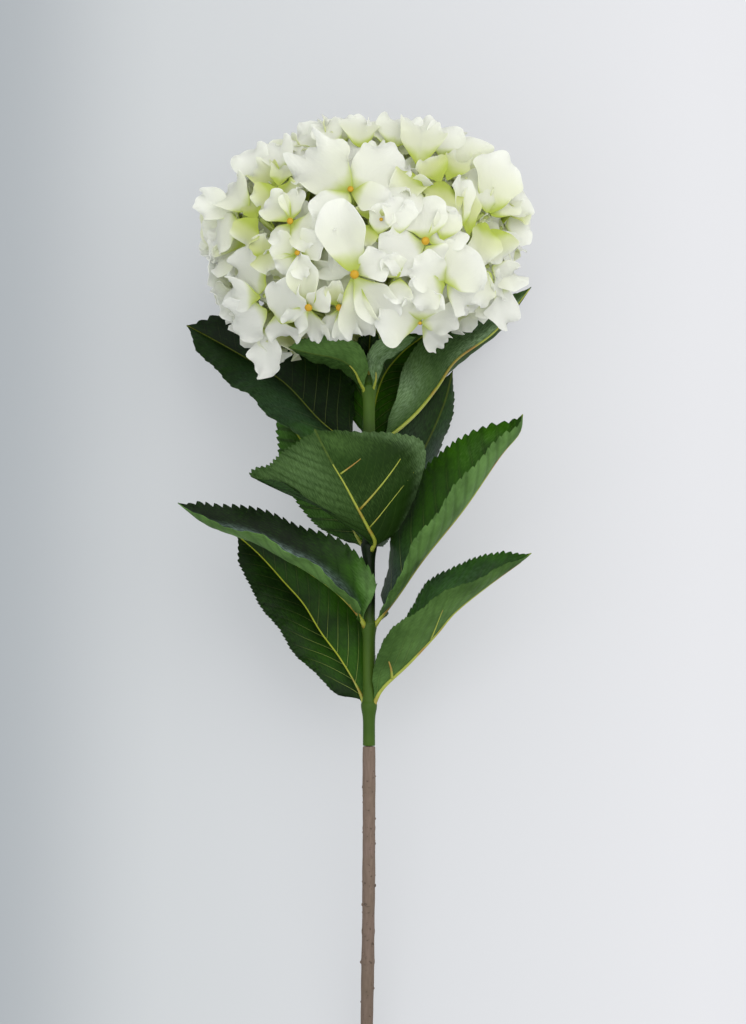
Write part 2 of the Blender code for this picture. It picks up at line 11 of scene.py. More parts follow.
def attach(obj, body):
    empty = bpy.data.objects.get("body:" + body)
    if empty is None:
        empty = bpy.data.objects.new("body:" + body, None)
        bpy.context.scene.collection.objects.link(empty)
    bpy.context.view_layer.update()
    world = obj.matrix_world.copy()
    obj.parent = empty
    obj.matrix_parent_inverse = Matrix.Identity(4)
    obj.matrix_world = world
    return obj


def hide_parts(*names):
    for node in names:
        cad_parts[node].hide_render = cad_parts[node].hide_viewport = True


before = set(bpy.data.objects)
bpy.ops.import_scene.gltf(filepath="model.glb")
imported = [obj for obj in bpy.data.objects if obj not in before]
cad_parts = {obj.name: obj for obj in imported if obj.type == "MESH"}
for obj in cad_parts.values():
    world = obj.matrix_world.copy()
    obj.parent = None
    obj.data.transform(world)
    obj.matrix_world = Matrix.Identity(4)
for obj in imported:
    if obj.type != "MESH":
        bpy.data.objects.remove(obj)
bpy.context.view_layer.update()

# ---------------------------------------------------------------------------------------------
# Where the flower lies. The stem lies on the table by its cut end and rises to the head, which
# rests on one flat floret. Its own axes are x to its right, s along it from the cut end and d
# square to it, away from the table, all in millimetres; laid() turns them into the frame.
# ---------------------------------------------------------------------------------------------
MM = 0.001
HEAD_S = 560.0
HEAD_HEIGHT = 95.0
FOOT_RADIUS = 3.9
SLOPE = math.asin((HEAD_HEIGHT - FOOT_RADIUS) / HEAD_S)
SLOPE_COS, SLOPE_SIN = math.cos(SLOPE), math.sin(SLOPE)


def laid(x, s, d):
    """Where a point of the stem's own axes lies in the frame."""
    along = s - HEAD_S
    y = along * SLOPE_COS - d * SLOPE_SIN
    z = HEAD_HEIGHT + along * SLOPE_SIN + d * SLOPE_COS
    return Vector((x * MM, y * MM, z * MM))


VIEW_CENTRE = (2.4, 403.6)  # x and s at the middle of the view
VIEW_LENGTH = 614.4  # millimetres of stem that the view's long side takes in
VIEW_DISTANCE = 3600.0
FILM = 36.0

camera_data = bpy.data.cameras.new("view_camera")
camera_data.sensor_width = FILM
camera_data.lens = FILM * VIEW_DISTANCE / VIEW_LENGTH
camera_data.clip_start = 0.1
camera_data.clip_end = 30.0
camera = bpy.data.objects.new("view_camera", camera_data)
bpy.context.scene.collection.objects.link(camera)
bpy.context.scene.camera = camera
stem_way = Vector((0.0, SLOPE_COS, SLOPE_SIN))
off_table = Vector((0.0, -SLOPE_SIN, SLOPE_COS))
turn = Matrix((Vector((1.0, 0.0, 0.0)), stem_way, off_table)).transposed().to_4x4()
camera.matrix_world = Matrix.Translation(laid(*VIEW_CENTRE, VIEW_DISTANCE)) @ turn


# ---------------------------------------------------------------------------------------------
# The table and the light. The table has a top of opal acrylic with a painted glow, painted light
# that keeps shadows faint, and painted shade deepening it to the left. A large soft light stands
# over the head to its right, and a cooler one to its left.
# ---------------------------------------------------------------------------------------------
def linear(code):
    """Linear colour, with an alpha of 1, of an sRGB hex value."""
    parts = [int(code[i : i + 2], 16) / 255.0 for i in (1, 3, 5)]
    return tuple(c / 12.92 if c <= 0.04045 else ((c + 0.055) / 1.055) ** 2.4 for c in parts) + (1.0,)


def add(tree, kind, sockets=None, **settings):
    """Adds a shader node. Each socket, by name or number, takes a value or a node's output."""
    made = tree.nodes.new("ShaderNode" + kind)
    for name, value in settings.items():
        setattr(made, name, value)
    for key, value in (sockets or {}).items():
        if isinstance(value, bpy.types.NodeSocket):
            tree.links.new(value, made.inputs[key])
        else:
            made.inputs[key].default_value = value
    return made


def new_material(name, **values):
    """A Principled material with plain values on its shader's own sockets."""
    made = bpy.data.materials.new(name)
    made.use_nodes = True
    tree = made.node_tree
    for old in list(tree.nodes):
        tree.nodes.remove(old)
    shader = add(tree, "BsdfPrincipled", {key.replace("_", " "): value for key, value in values.items()})
    add(tree, "OutputMaterial", {"Surface": shader.outputs[0]})
    return made, tree, shader


def mesh_piece(name, work, *materials):
    """An object at the origin made of a bmesh, smooth, with these materials."""
    mesh = bpy.data.meshes.new(name)
    work.to_mesh(mesh)
    work.free()
    for look in materials:
        mesh.materials.append(look)
    for face in mesh.polygons:
        face.use_smooth = True
    made = bpy.data.objects.new(name, mesh)
    bpy.context.scene.collection.objects.link(made)
    return made


TABLE_HALF = 6.0
TABLE_PAINTED_GLOW = 0.48  # strength of the glow painted on the top, painted light that lifts shadows
TABLE_BODY = 0.4  # how much of its tone is its own colour

# Opal acrylic, cast and sanded: matt and even, with a soft painted glow, and painted shade that
# deepens its tone to the left. The tone changes over two stretches from left to right, in metres.
table_look, tree, shader = new_material("opal_acrylic_table", Roughness=0.9)
across = add(tree, "SeparateXYZ", {0: add(tree, "TexCoord").outputs["Object"]}).outputs[0]
# painted shade: the tone deepens to the left, standing in for light falling off there
share = add(tree, "MapRange", {0: across, 1: -0.24, 2: -0.12, 3: 0.0, 4: 1.0},
            interpolation_type="SMOOTHSTEP").outputs[0]
tone = add(tree, "Mix", {0: share, 6: linear("#B0B6BB"), 7: linear("#D2D6D9")},
           data_type="RGBA").outputs[2]
share = add(tree, "MapRange", {0: across, 1: -0.14, 2: 0.2, 3: 0.0, 4: 1.0}).outputs[0]
tone = add(tree, "Mix", {0: share, 6: tone, 7: linear("#EAEBEF")}, data_type="RGBA").outputs[2]
body = add(tree, "Mix", {0: TABLE_BODY, 6: linear("#000000"), 7: tone}, data_type="RGBA").outputs[2]
tree.links.new(body, shader.inputs["Base Color"])
# painted light: the top glows with its own tone, which lifts the shadows on it
tree.links.new(tone, shader.inputs["Emission Color"])
shader.inputs["Emission Strength"].default_value = TABLE_PAINTED_GLOW
work = bmesh.new()
bmesh.ops.create_grid(work, x_segments=1, y_segments=1, size=TABLE_HALF)
table_top = mesh_piece("table_top", work, table_look)


def soft_light(name, place, aim, size, power, colour):
    """A square area light at a place, turned to a point."""
    data = bpy.data.lights.new(name, "AREA")
    data.size = size
    data.energy = power
    data.color = linear(colour)[:3]
    lamp = bpy.data.objects.new(name, data)
    bpy.context.scene.collection.objects.link(lamp)
    lamp.location = place
    lamp.rotation_euler = (Vector(place) - Vector(aim)).to_track_quat("Z", "Y").to_euler()


soft_light("key_light", (1.4, 0.9, 2.8), (0.0, 0.0, 0.05), 3.0, 44.0, "#FFFDF8")
soft_light("fill_light", (-1.0, -0.7, 3.1), (0.0, -0.1, 0.1), 3.0, 26.0, "#FAFCFF")
world = bpy.data.worlds.new("studio_air")
world.use_nodes = True
world.node_tree.nodes["Background"].inputs["Color"].default_value = linear("#F9F9F9")
world.node_tree.nodes["Background"].inputs["Strength"].default_value = 0.86
bpy.context.scene.world = world
bpy.context.scene.view_settings.view_transform = "Standard"


# ---------------------------------------------------------------------------------------------
# The brown foot of the stem. A steel wire core in moulded polyethylene, wrapped in brown tape
# and pressed with small knobs and ring joints like bark. The green stem pegs into its top end.
# ---------------------------------------------------------------------------------------------
END_LEAN = -4.0
LEAN_LENGTH = 230.0
BROWN_TOP = 263.0
BARK_RADIUS = 3.85
BARK_STEP = 3.0
RING_JOINTS = (38.0, 77.0, 134.0, 152.0, 214.0)
JOINT_RISE = 0.28
JOINT_WIDTH = 1.6
JOINT_REACH = 5.0  # the mesh is three times finer this near a joint
STEM_SIDES = 28
END_ROUND = 0.35
KNOB_COUNT = 86
KNOB_SIZE = (0.35, 0.8)
KNOB_STRETCH = 1.5
TABLE_CONTACT = 70.0  # up to here no knob is pressed on the side that lies on the table


def cells(size):
    """How many cells of a pattern fit in a metre, each this many millimetres across."""
    return 1.0 / (size * MM)


def stem_x(s):
    """Sideways place of the stem's centre line."""
    return END_LEAN * max(0.0, 1.0 - s / LEAN_LENGTH) ** 2


def tube(work, points, radii, sides, material=0):
    """A closed round tube along points in the frame, with a radius in metres at each point."""
    ahead = (points[1] - points[0]).normalized()
    side = ahead.orthogonal().normalized()
    ring = bmesh.ops.create_circle(work, cap_ends=True, segments=sides, radius=1.0)["verts"]
    start = ring[0].link_faces[0]
    edges = list(start.edges)
    rings = [ring]
    for _ in points[1:]:
        made = bmesh.ops.extrude_edge_only(work, edges=edges)["geom"]
        ring = [part for part in made if isinstance(part, bmesh.types.BMVert)]
        edges = [part for part in made if isinstance(part, bmesh.types.BMEdge)
                 and all(vert in ring for vert in part.verts)]
        rings.append(ring)
    faces = {start, *bmesh.ops.contextual_create(work, geom=edges)["faces"]}
    last = len(points) - 1
    for place, ring in enumerate(rings):
        ahead = (points[min(place + 1, last)] - points[max(place - 1, 0)]).normalized()
        side = (side - ahead * side.dot(ahead)).normalized()
        up = ahead.cross(side)
        for vert in ring:
            angle = math.atan2(vert.co.y, vert.co.x)
            vert.co = points[place] + (side * math.cos(angle) + up * math.sin(angle)) * radii[place]
            faces.update(vert.link_faces)
    for face in faces:
        face.material_index = material
    bmesh.ops.recalc_face_normals(work, faces=list(faces))


def bark_radius(s):
    """Radius of the brown stem: nearly even, with slight ring joints."""
    radius = BARK_RADIUS + 0.1 * math.sin(s * 0.11) + 0.06 * math.sin(s * 0.37 + 1.0)
    for joint in RING_JOINTS:
        radius += JOINT_RISE * math.exp(-(((s - joint) / JOINT_WIDTH) ** 2))
    return radius


# Paper-backed floral tape over plastic: dull, taupe with olive and mauve patches 18 mm across,
# faint streaks 1.1 mm wide along the stem, dark specks 2 mm apart, and darker towards the cut end.
bark_look, tree, shader = new_material("floral_tape_bark", Roughness=0.78, IOR=1.46)
place = add(tree, "TexCoord").outputs["Object"]
streak = (cells(1.11), cells(11.1), cells(1.11))
streaked = add(tree, "Mapping", {"Vector": place, "Scale": streak}).outputs[0]
streaks = add(tree, "TexNoise", {"Vector": streaked, "Scale": 1.0, "Detail": 5.0}).outputs[0]
patches = add(tree, "TexNoise", {"Vector": place, "Scale": cells(18.2), "Detail": 3.0}).outputs[0]
specks = add(tree, "TexNoise", {"Vector": place, "Scale": cells(2.38), "Detail": 2.0}).outputs[0]
along = add(tree, "SeparateXYZ", {0: place}).outputs[1]
lined = add(tree, "MapRange", {0: streaks, 1: 0.35, 2: 0.7, 3: 0.0, 4: 0.55}).outputs[0]
specked = add(tree, "MapRange", {0: specks, 1: 0.64, 2: 0.7, 3: 0.0, 4: 0.75}).outputs[0]
# darker towards the cut end
darkened_to_end = add(tree, "MapRange", {0: along, 1: -0.46, 2: -0.34, 3: 0.3, 4: 0.0}).outputs[0]
tone = add(tree, "Mix", {0: patches, 6: linear("#6C5F4C"), 7: linear("#7D6962")},
           data_type="RGBA").outputs[2]
for share, shade in ((lined, "#5A4B3E"), (specked, "#3F3228"), (darkened_to_end, "#4A3F34")):
    tone = add(tree, "Mix", {0: share, 6: tone, 7: linear(shade)}, data_type="RGBA").outputs[2]
tree.links.new(tone, shader.inputs["Base Color"])
grain = add(tree, "Bump", {"Height": streaks, "Strength": 0.5, "Distance": 0.0004})
tree.links.new(grain.outputs[0], shader.inputs["Normal"])

work = bmesh.new()
heights = [0.0, 0.3]
while heights[-1] < BROWN_TOP - BARK_STEP:
    by_joint = any(abs(heights[-1] - joint) < JOINT_REACH for joint in RING_JOINTS)
    heights.append(heights[-1] + BARK_STEP / (3.0 if by_joint else 1.0))
heights += [BROWN_TOP - 0.4, BROWN_TOP]
radii = [bark_radius(s) * MM for s in heights]
radii[0] -= END_ROUND * MM
radii[-1] -= 0.3 * MM
tube(work, [laid(stem_x(s), s, 0) for s in heights], radii, STEM_SIDES)
draw = random.Random(5)
for knob in range(KNOB_COUNT):
    s = 8.0 + (BROWN_TOP - 20.0) * (knob + draw.random()) / KNOB_COUNT
    around = draw.uniform(0.0, 2.0 * math.pi)
    out = Vector((math.cos(around), 0.0, math.sin(around)))
    if out.z < -0.75 and s < TABLE_CONTACT:
        continue
    size = draw.uniform(*KNOB_SIZE)
    centre = Vector((stem_x(s), s, 0.0)) + out * (bark_radius(s) - 0.15 * size)
    for vert in bmesh.ops.create_icosphere(work, subdivisions=2, radius=1.0)["verts"]:
        reach = vert.co * size
        reach.y *= KNOB_STRETCH
        vert.co = laid(*(centre + reach))
foot = mesh_piece("brown_stem_foot", work, bark_look)
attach(foot, "root")
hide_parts("stem_brown")

# ---------------------------------------------------------------------------------------------
# The green stem. Wire in moulded green polyethylene, thicker at a collar under each group of
# leaves, where a thin rim shows. Above the last collar it carries the stalks of the head.
# ---------------------------------------------------------------------------------------------
STEM_TOP = 518.0
STEM_RADIUS = 3.7
STEM_STEP = 3.0
COLLAR_STEP = 0.6
COLLARS = (287.5, 335.8, 383.2, 446.8, 478.6)
COLLAR_RISE = 1.15
COLLAR_BELOW = 5.0
COLLAR_ABOVE = 2.2
RIM_RISE = 0.22
PEG_RADIUS = 2.0
PEG_LENGTH = 12.0


def green_radius(s):
    """Radius of the green stem: slim, swelling to a rimmed collar at each group of leaves."""
    radius = STEM_RADIUS + 0.05 * math.sin(s * 0.2)
    for collar in COLLARS:
        over = s - collar
        reach = COLLAR_BELOW if over < 0.0 else COLLAR_ABOVE
        radius += COLLAR_RISE * math.exp(-((over / reach) ** 2))
        radius += RIM_RISE * math.exp(-(((over - 1.2) / 0.5) ** 2))
    return radius


# Moulded polyethylene: waxy, half gloss, mid green with yellower patches 22 mm across where the
# mould left it thin, faint drag lines 0.6 mm apart, and painted shade, nearly black, on the stretch
# among the leaves that they shade.
stem_look, tree, shader = new_material("moulded_green_polyethylene", Roughness=0.45, IOR=1.5)
shader.inputs["Specular IOR Level"].default_value = 0.15
place = add(tree, "TexCoord").outputs["Object"]
drag = (cells(0.625), cells(16.7), cells(0.625))
drawn = add(tree, "Mapping", {"Vector": place, "Scale": drag}).outputs[0]
lines = add(tree, "TexNoise", {"Vector": drawn, "Scale": 1.0, "Detail": 3.0}).outputs[0]
patches = add(tree, "TexNoise", {"Vector": place, "Scale": cells(22.2), "Detail": 2.0}).outputs[0]
tone = add(tree, "Mix", {0: patches, 6: linear("#2B4710"), 7: linear("#4C6722")},
           data_type="RGBA").outputs[2]
along = add(tree, "SeparateXYZ", {0: place}).outputs[1]
# painted shade: the stretch among the leaves is darkened nearly black in place of their shadow
starts = add(tree, "MapRange", {0: along, 1: -0.225, 2: -0.208, 3: 0.0, 4: 1.0}).outputs[0]
ends = add(tree, "MapRange", {0: along, 1: -0.125, 2: -0.1, 3: 1.0, 4: 0.0}).outputs[0]
painted_leaf_shade = add(tree, "Math", {0: starts, 1: ends}, operation="MULTIPLY").outputs[0]
tone = add(tree, "Mix", {0: painted_leaf_shade, 6: tone, 7: linear("#0C1B05")}, data_type="RGBA").outputs[2]
tree.links.new(tone, shader.inputs["Base Color"])
ribbed = add(tree, "Bump", {"Height": lines, "Strength": 0.35, "Distance": 0.0003})
tree.links.new(ribbed.outputs[0], shader.inputs["Normal"])

work = bmesh.new()
heights = [BROWN_TOP + 0.3, BROWN_TOP + 0.7]
while heights[-1] < STEM_TOP - 2.0:
    by_collar = any(-9.0 < heights[-1] - collar < 6.0 for collar in COLLARS)
    heights.append(heights[-1] + (COLLAR_STEP if by_collar else STEM_STEP))
radii = [green_radius(s) * MM for s in heights]
radii[0] -= END_ROUND * MM
tube(work, [laid(stem_x(s), s, 0) for s in heights], radii, STEM_SIDES)
peg = (BROWN_TOP - PEG_LENGTH, BROWN_TOP - 3.0, BROWN_TOP + 2.0)
tube(work, [laid(stem_x(s), s, 0) for s in peg], [PEG_RADIUS * MM] * 3, 12)
green_stem = mesh_piece("green_stem", work, stem_look)
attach(green_stem, "root")
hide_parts("stem_green")

# ---------------------------------------------------------------------------------------------
# The leaves. Each is polyester cloth, printed, heat-pressed with its veins and cut with a toothed
# edge, waxed above and duller and paler below, on a moulded petiole that runs on as its midrib.
# Each is folded along the midrib and pushed by a ring onto the stem above a collar.
# ---------------------------------------------------------------------------------------------
PETIOLE_SHARE = 0.1
PETIOLE_HALF_WIDTH = 1.5
STATIONS = (0.06, 0.12, 0.3, 0.5, 0.7, 0.9, 1.0)
BLADE_START = 0.055
PATH_STEPS = 200
TANGENT_REACH = 40
HALF_COLUMNS = 14
LEAF_LAYERS = ("edge", "tone", "painted_sheen", "print", "quilt")
TOOTH_ROWS = (0.0, 0.4, 0.8, 1.0)  # how far the edge stands out over the rows of one tooth
CLOTH = 0.5
FLUTTER = 1.2
SWELL = 0.9
VEIN_SLANT = 0.8  # how far a side vein runs towards the tip for each millimetre outwards
RIB_START = 0.015
RIB_STEPS = 40
RIB_RADIUS = 1.15
RIB_FOOT = 0.55
RIB_TAPER = 0.85
STEEP = 60  # degrees from which a half shows the midrib's side, so that it is sunk less
TWIG_STEPS = 8

# Each leaf: its midrib (x, s and d) from inside the stem to the tip. For its left and right half,
# the widths at the stations and the angles it stands at by the base, middle and tip. Then which
# side faces up, the pitch and depth of its teeth, and for each half how toothed, light and puffed
# it is, where how light holds its own green together with painted light and shade. Then how
# strongly its veins are printed and how far the midrib stands out. Light, shade and sheen are
# painted on in patches: a half, or 0 for both, the middle along and out, the reach of each, how
# much painted light (painted shade where below 0) and how much painted sheen. Thick side ribs
# are twigs: a half, along and out at both ends, and the radius.
# A half with a sweep reaches towards the tip by that share of its width; slant is the veins' own.
LEAVES = {
    "leaf_1_left": dict(
        rib=((-2, 475, 1), (-5.5, 482, 8), (-8.5, 488, 15), (-14, 493, 20), (-22, 496, 22),
             (-35, 498.5, 22), (-48, 502, 20)),
        left=(3, 7, 9, 8, 4), left_raise=(-30, -50, -50),
        right=(2, 9, 15, 14, 7), right_raise=(26, 32, 32),
        upper_near=False, pitch=2.2, tooth=0.7, teeth=(0.6, 1.0), tone=(0.2, 0.85),
        quilt=(0.3, 0.3), printed=0.1, rib_reach=0.4,
    ),
    "leaf_1_right": dict(
        rib=((2, 475, 1), (4, 484, 8), (4, 492, 13), (8, 498, 17), (16, 503, 20), (28, 508, 22)),
        left=(1, 4, 8, 8, 4), left_raise=(30, 30, 30),
        right=(1, 4, 6, 6, 3), right_raise=(-30, -40, -40),
        upper_near=False, pitch=2.2, tooth=0.6, teeth=(1.0, 1.0), tone=(0.6, 0.5),
        quilt=(0.3, 0.3), printed=0.0, rib_reach=0.3,
        brushed=((0, 0.5, 0.5, 0.4, 0.6, 0.0, 0.5),),
    ),
    "leaf_1_top": dict(
        rib=((0, 486, 2), (0, 491, 8), (0, 499, 12.5), (1, 513, 14)),
        left=(2, 6, 9, 8, 4), left_raise=(10, 10, 10),
        right=(2, 6, 9, 8, 4), right_raise=(10, 10, 10),
        upper_near=True, pitch=2.6, tooth=0.9, teeth=(1.0, 1.0), tone=(0.1, 0.2),
        quilt=(0.3, 0.3), printed=0.2, rib_reach=0.9,
    ),
    "leaf_2_left": dict(
        rib=((-2, 444, -1), (-14, 447, -6), (-30, 459, -16), (-52, 482, -31), (-82, 501, -44),
             (-111, 517, -50)),
        left=(14, 29, 30, 26, 14), left_raise=(52, 50, 48),
        right=(16, 36, 36, 30, 15), right_raise=(-5, -8, -8),
        upper_near=True, pitch=4.6, tooth=1.7, teeth=(0.25, 1.0), tone=(0.15, 0.05),
        quilt=(0.4, 0.4), printed=0.25, rib_reach=0.9,
        brushed=((1, 0.12, 0.8, 0.12, 0.4, 0.7, 0.0), (1, 0.35, 0.5, 0.3, 0.6, 0.25, 0.12)),
    ),
    "leaf_2_right": dict(
        rib=((2, 444, -1), (12, 449, -6), (28, 463, -15), (41, 479, -27), (53, 496, -42),
             (77, 514, -58), (99, 541, -66)),
        left=(9, 22, 24, 17, 9), left_raise=(22, 0, -15),
        right=(10, 20, 20, 15, 8), right_raise=(-95, -90, -80),
        upper_near=False, pitch=4.2, tooth=1.5, teeth=(0.3, 1.0), tone=(0.4, 0.3),
        quilt=(0.3, 0.3), printed=0.0, rib_reach=1.0,
        brushed=((1, 0.27, 0.75, 0.13, 0.45, 0.4, 0.5), (1, 0.75, 0.5, 0.2, 0.7, -0.4, 0.1),
                 (1, 0.8, 0.08, 0.25, 0.15, 0.4, 0.5)),
    ),
    "leaf_2_back": dict(
        rib=((0, 444, -2), (2.5, 452, -11), (3.5, 468, -21), (9, 486, -29), (20, 500, -35),
             (34, 511, -39)),
        left=(6, 19, 20, 16, 8), left_raise=(0, 0, 0),
        right=(7, 20, 21, 15, 7), right_raise=(15, 12, 10),
        upper_near=True, pitch=3.4, tooth=1.2, teeth=(1.0, 1.0), tone=(0.75, 0.6),
        quilt=(0.7, 0.7), printed=0.45, rib_reach=0.9,
    ),
    "leaf_3_front": dict(
        rib=((1, 380, 2), (3.5, 386, 8), (-1, 395, 14), (-8, 408, 20), (-15, 421, 24), (-21, 431, 27),
             (-27, 442, 29), (-32.5, 453, 30)),
        left=(32, 47, 33, 20, 6), left_raise=(-6, -8, -12),
        right=(15, 42, 55, 40, 14), right_raise=(-10, -16, -16),
        sweep=(1.15, 0.0),
        upper_near=False, pitch=3.2, tooth=1.1, teeth=(0.7, 0.7), tone=(0.22, 0.1),
        quilt=(0.6, 0.15), printed=0.12, rib_reach=0.74,
        brushed=((0, 0.02, 0.3, 0.2, 0.6, -0.35, 0.0), (-1, 0.5, 0.97, 0.3, 0.12, 0.5, 0.3),
                 (1, 0.6, 0.6, 0.3, 0.5, 0.25, 0.1), (-1, 0.85, 0.4, 0.15, 0.4, 0.3, 0.0),
                 (-1, 0.22, 0.7, 0.14, 0.4, -0.4, 0.0), (-1, 0.6, 0.5, 0.08, 0.5, -0.2, 0.0)),
        twigs=((-1, 0.37, 0.02, 0.52, 0.67, 0.75), (-1, 0.22, 0.02, 0.39, 0.8, 0.45),
               (-1, 0.65, 0.02, 0.67, 0.36, 0.6)),
    ),
    "leaf_3_right": dict(
        rib=((1, 380, -2), (7, 390, -20), (18, 413, -42), (34, 443, -57), (45.5, 469, -63),
             (51, 490, -64)),
        left=(12, 32, 34, 25, 11), left_raise=(0, 5, 5),
        right=(6, 14, 17, 14, 7), right_raise=(-50, -50, -50),
        upper_near=True, pitch=3.8, tooth=1.2, teeth=(0.3, 0.7), tone=(0.25, 0.3),
        quilt=(0.3, 0.3), printed=0.1, rib_reach=0.9,
        brushed=((1, 0.4, 0.5, 0.25, 0.4, 0.0, 0.2), (-1, 0.5, 0.5, 0.3, 0.5, 0.0, 0.15)),
    ),
    "leaf_3_left": dict(
        rib=((-1.5, 380, -1), (-8, 390, -11), (-20, 412, -28), (-34, 435, -39), (-45, 453, -45),
             (-54, 468, -48)),
        left=(6, 17, 21, 18, 9), left_raise=(-10, -10, -10),
        right=(5, 15, 19, 18, 9), right_raise=(10, 5, 5),
        upper_near=True, pitch=3.8, tooth=1.3, teeth=(1.0, 1.0), tone=(1.1, 1.1),
        quilt=(0.9, 0.9), printed=0.6, rib_reach=0.9,
    ),
    "leaf_4_left": dict(
        rib=((-1.5, 333, 1), (-7, 343, 7), (-18, 355, 10), (-35, 367.5, 13), (-49, 375.5, 15),
             (-66.5, 385, 17), (-82, 391, 19), (-98, 397, 21), (-114, 409, 23)),
        left=(14, 24, 26, 22, 10), left_raise=(99, 101, 100),
        right=(19, 25, 20, 18, 9), right_raise=(5, -12, -15),
        upper_near=True, pitch=5.2, tooth=1.8, teeth=(0.3, 1.0), tone=(1.2, 0.05),
        quilt=(0.4, 0.4), printed=0.0, rib_reach=0.95,
        brushed=((-1, 0.5, 0.16, 0.3, 0.12, 0.0, 0.9), (-1, 0.08, 0.85, 0.2, 0.6, 1.9, 0.0),
                 (1, 0.5, 0.2, 0.3, 0.3, -0.2, 0.0), (1, 0.2, 0.4, 0.1, 0.6, -0.3, 0.0)),
        twigs=((1, 0.22, 0.02, 0.3, 0.5, 0.5), (1, 0.1, 0.02, 0.16, 0.55, 0.6)),
    ),
    "leaf_4_right": dict(
        rib=((1.5, 333, 0.4), (9, 343, 3), (17, 354, 5), (32.5, 376, 7), (56.5, 405.5, 10),
             (78, 436.5, 12), (90, 451, 12), (92, 462, 12)),
        left=(12, 28, 30, 25, 12), left_raise=(86, 68, 66),
        right=(16, 29, 36, 32, 17), right_raise=(-100, -150, -150),
        upper_near=False, pitch=4.8, tooth=2.4, teeth=(1.0, 0.8), tone=(1.4, 0.8),
        quilt=(0.5, 0.5), printed=0.6, rib_reach=0.95,
        brushed=((-1, 0.15, 0.4, 0.15, 0.5, -0.4, 0.2), (-1, 0.45, 0.8, 0.2, 0.3, -0.5, 0.0),
                 (-1, 0.8, 0.6, 0.2, 0.4, 0.3, 0.0)),
    ),
    "leaf_5_left": dict(
        rib=((-1.5, 284, 0), (-6, 296, -3), (-17.5, 315.5, -7), (-29, 331, -11), (-39.5, 348, -14),
             (-51, 361, -17), (-65.5, 377, -20), (-80, 390, -21)),
        left=(13, 20, 22, 21, 12), left_raise=(25, 25, 25),
        right=(14, 24, 26, 21, 10), right_raise=(-22, -5, 5),
        upper_near=True, pitch=3.0, tooth=1.1, teeth=(0.8, 0.7), tone=(0.2, 0.7),
        quilt=(0.45, 0.45), printed=1.0, rib_reach=0.9,
        brushed=((1, 0.3, 0.4, 0.25, 0.3, 0.35, 0.0), (-1, 0.85, 0.5, 0.15, 0.5, -0.5, 0.0),
                 (-1, 0.2, 0.5, 0.15, 0.5, 0.2, 0.0)),
        twigs=((-1, 0.38, 0.25, 0.5, 0.62, 0.2),),
        slant=1.3,
    ),
    "leaf_5_right": dict(
        rib=((1.2, 283.7, 0.3), (8, 298, 4), (23.5, 313, 8), (40, 330.5, 12), (51.5, 344, 14),
             (71.5, 360, 16), (91, 374, 17), (97, 379, 17)),
        left=(8, 26, 27, 19, 8), left_raise=(12, 50, 70),
        right=(8, 18, 27, 24, 12), right_raise=(-145, -147, -152),
        upper_near=False, pitch=3.2, tooth=1.2, teeth=(0.6, 1.0), tone=(0.7, 0.75),
        quilt=(0.35, 0.35), printed=0.5, rib_reach=0.95,
        brushed=((1, 0.5, 0.3, 0.3, 0.3, 0.25, 0.0), (-1, 0.6, 0.5, 0.3, 0.6, 0.1, 0.12)),
        twigs=((1, 0.18, 0.02, 0.24, 0.6, 1.0), (1, 0.42, 0.02, 0.56, 0.55, 0.6)),
        slant=1.5,
    ),
}


def path_through(points, count):
    """Points at equal distances on a smooth curve through the given points."""
    knots = [Vector(p) for p in points]
    knots = [2 * knots[0] - knots[1], *knots, 2 * knots[-1] - knots[-2]]
    spans = len(knots) - 3
    fine = []
    for i in range(60):
        place = i / 59 * spans
        span = min(int(place), spans - 1)
        t = place - span
        a, b, c, e = knots[span : span + 4]
        fine.append(0.5 * (2 * b + (c - a) * t + (2 * a - 5 * b + 4 * c - e) * t**2
                           + (3 * b - a - 3 * c + e) * t**3))
    reach = [0.0]
    for a, b in zip(fine, fine[1:]):
        reach.append(reach[-1] + (b - a).length)
    even = []
    k = 1
    for i in range(count):
        target = reach[-1] * i / (count - 1)
        while k < len(reach) - 1 and reach[k] < target:
            k += 1
        even.append(fine[k - 1].lerp(fine[k], (target - reach[k - 1]) / (reach[k] - reach[k - 1])))
    return even, reach[-1]


def eased(stations, values, u):
    """Smooth value at u between the values at the stations."""
    if u <= stations[0]:
        return values[0]
    k = next((i for i in range(1, len(stations)) if stations[i] >= u), len(stations) - 1)
    t = (u - stations[k - 1]) / (stations[k] - stations[k - 1])
    before, after = values[max(k - 2, 0)], values[min(k + 1, len(values) - 1)]
    a, b = values[k - 1], values[k]
    curve = 2 * a + (b - before) * t + (2 * before - 5 * a + 4 * b - after) * t**2
    return 0.5 * (curve + (3 * a - before - 3 * b + after) * t**3)


def smooth_step(low, high, value):
    """0 below low, 1 above high, easing between."""
    t = min(1.0, max(0.0, (value - low) / (high - low)))
    return t * t * (3.0 - 2.0 * t)


def swept(spec, side):
    """How far a half reaches towards the tip, as a share of its width."""
    return spec.get("sweep", (0.0, 0.0))[side < 0]


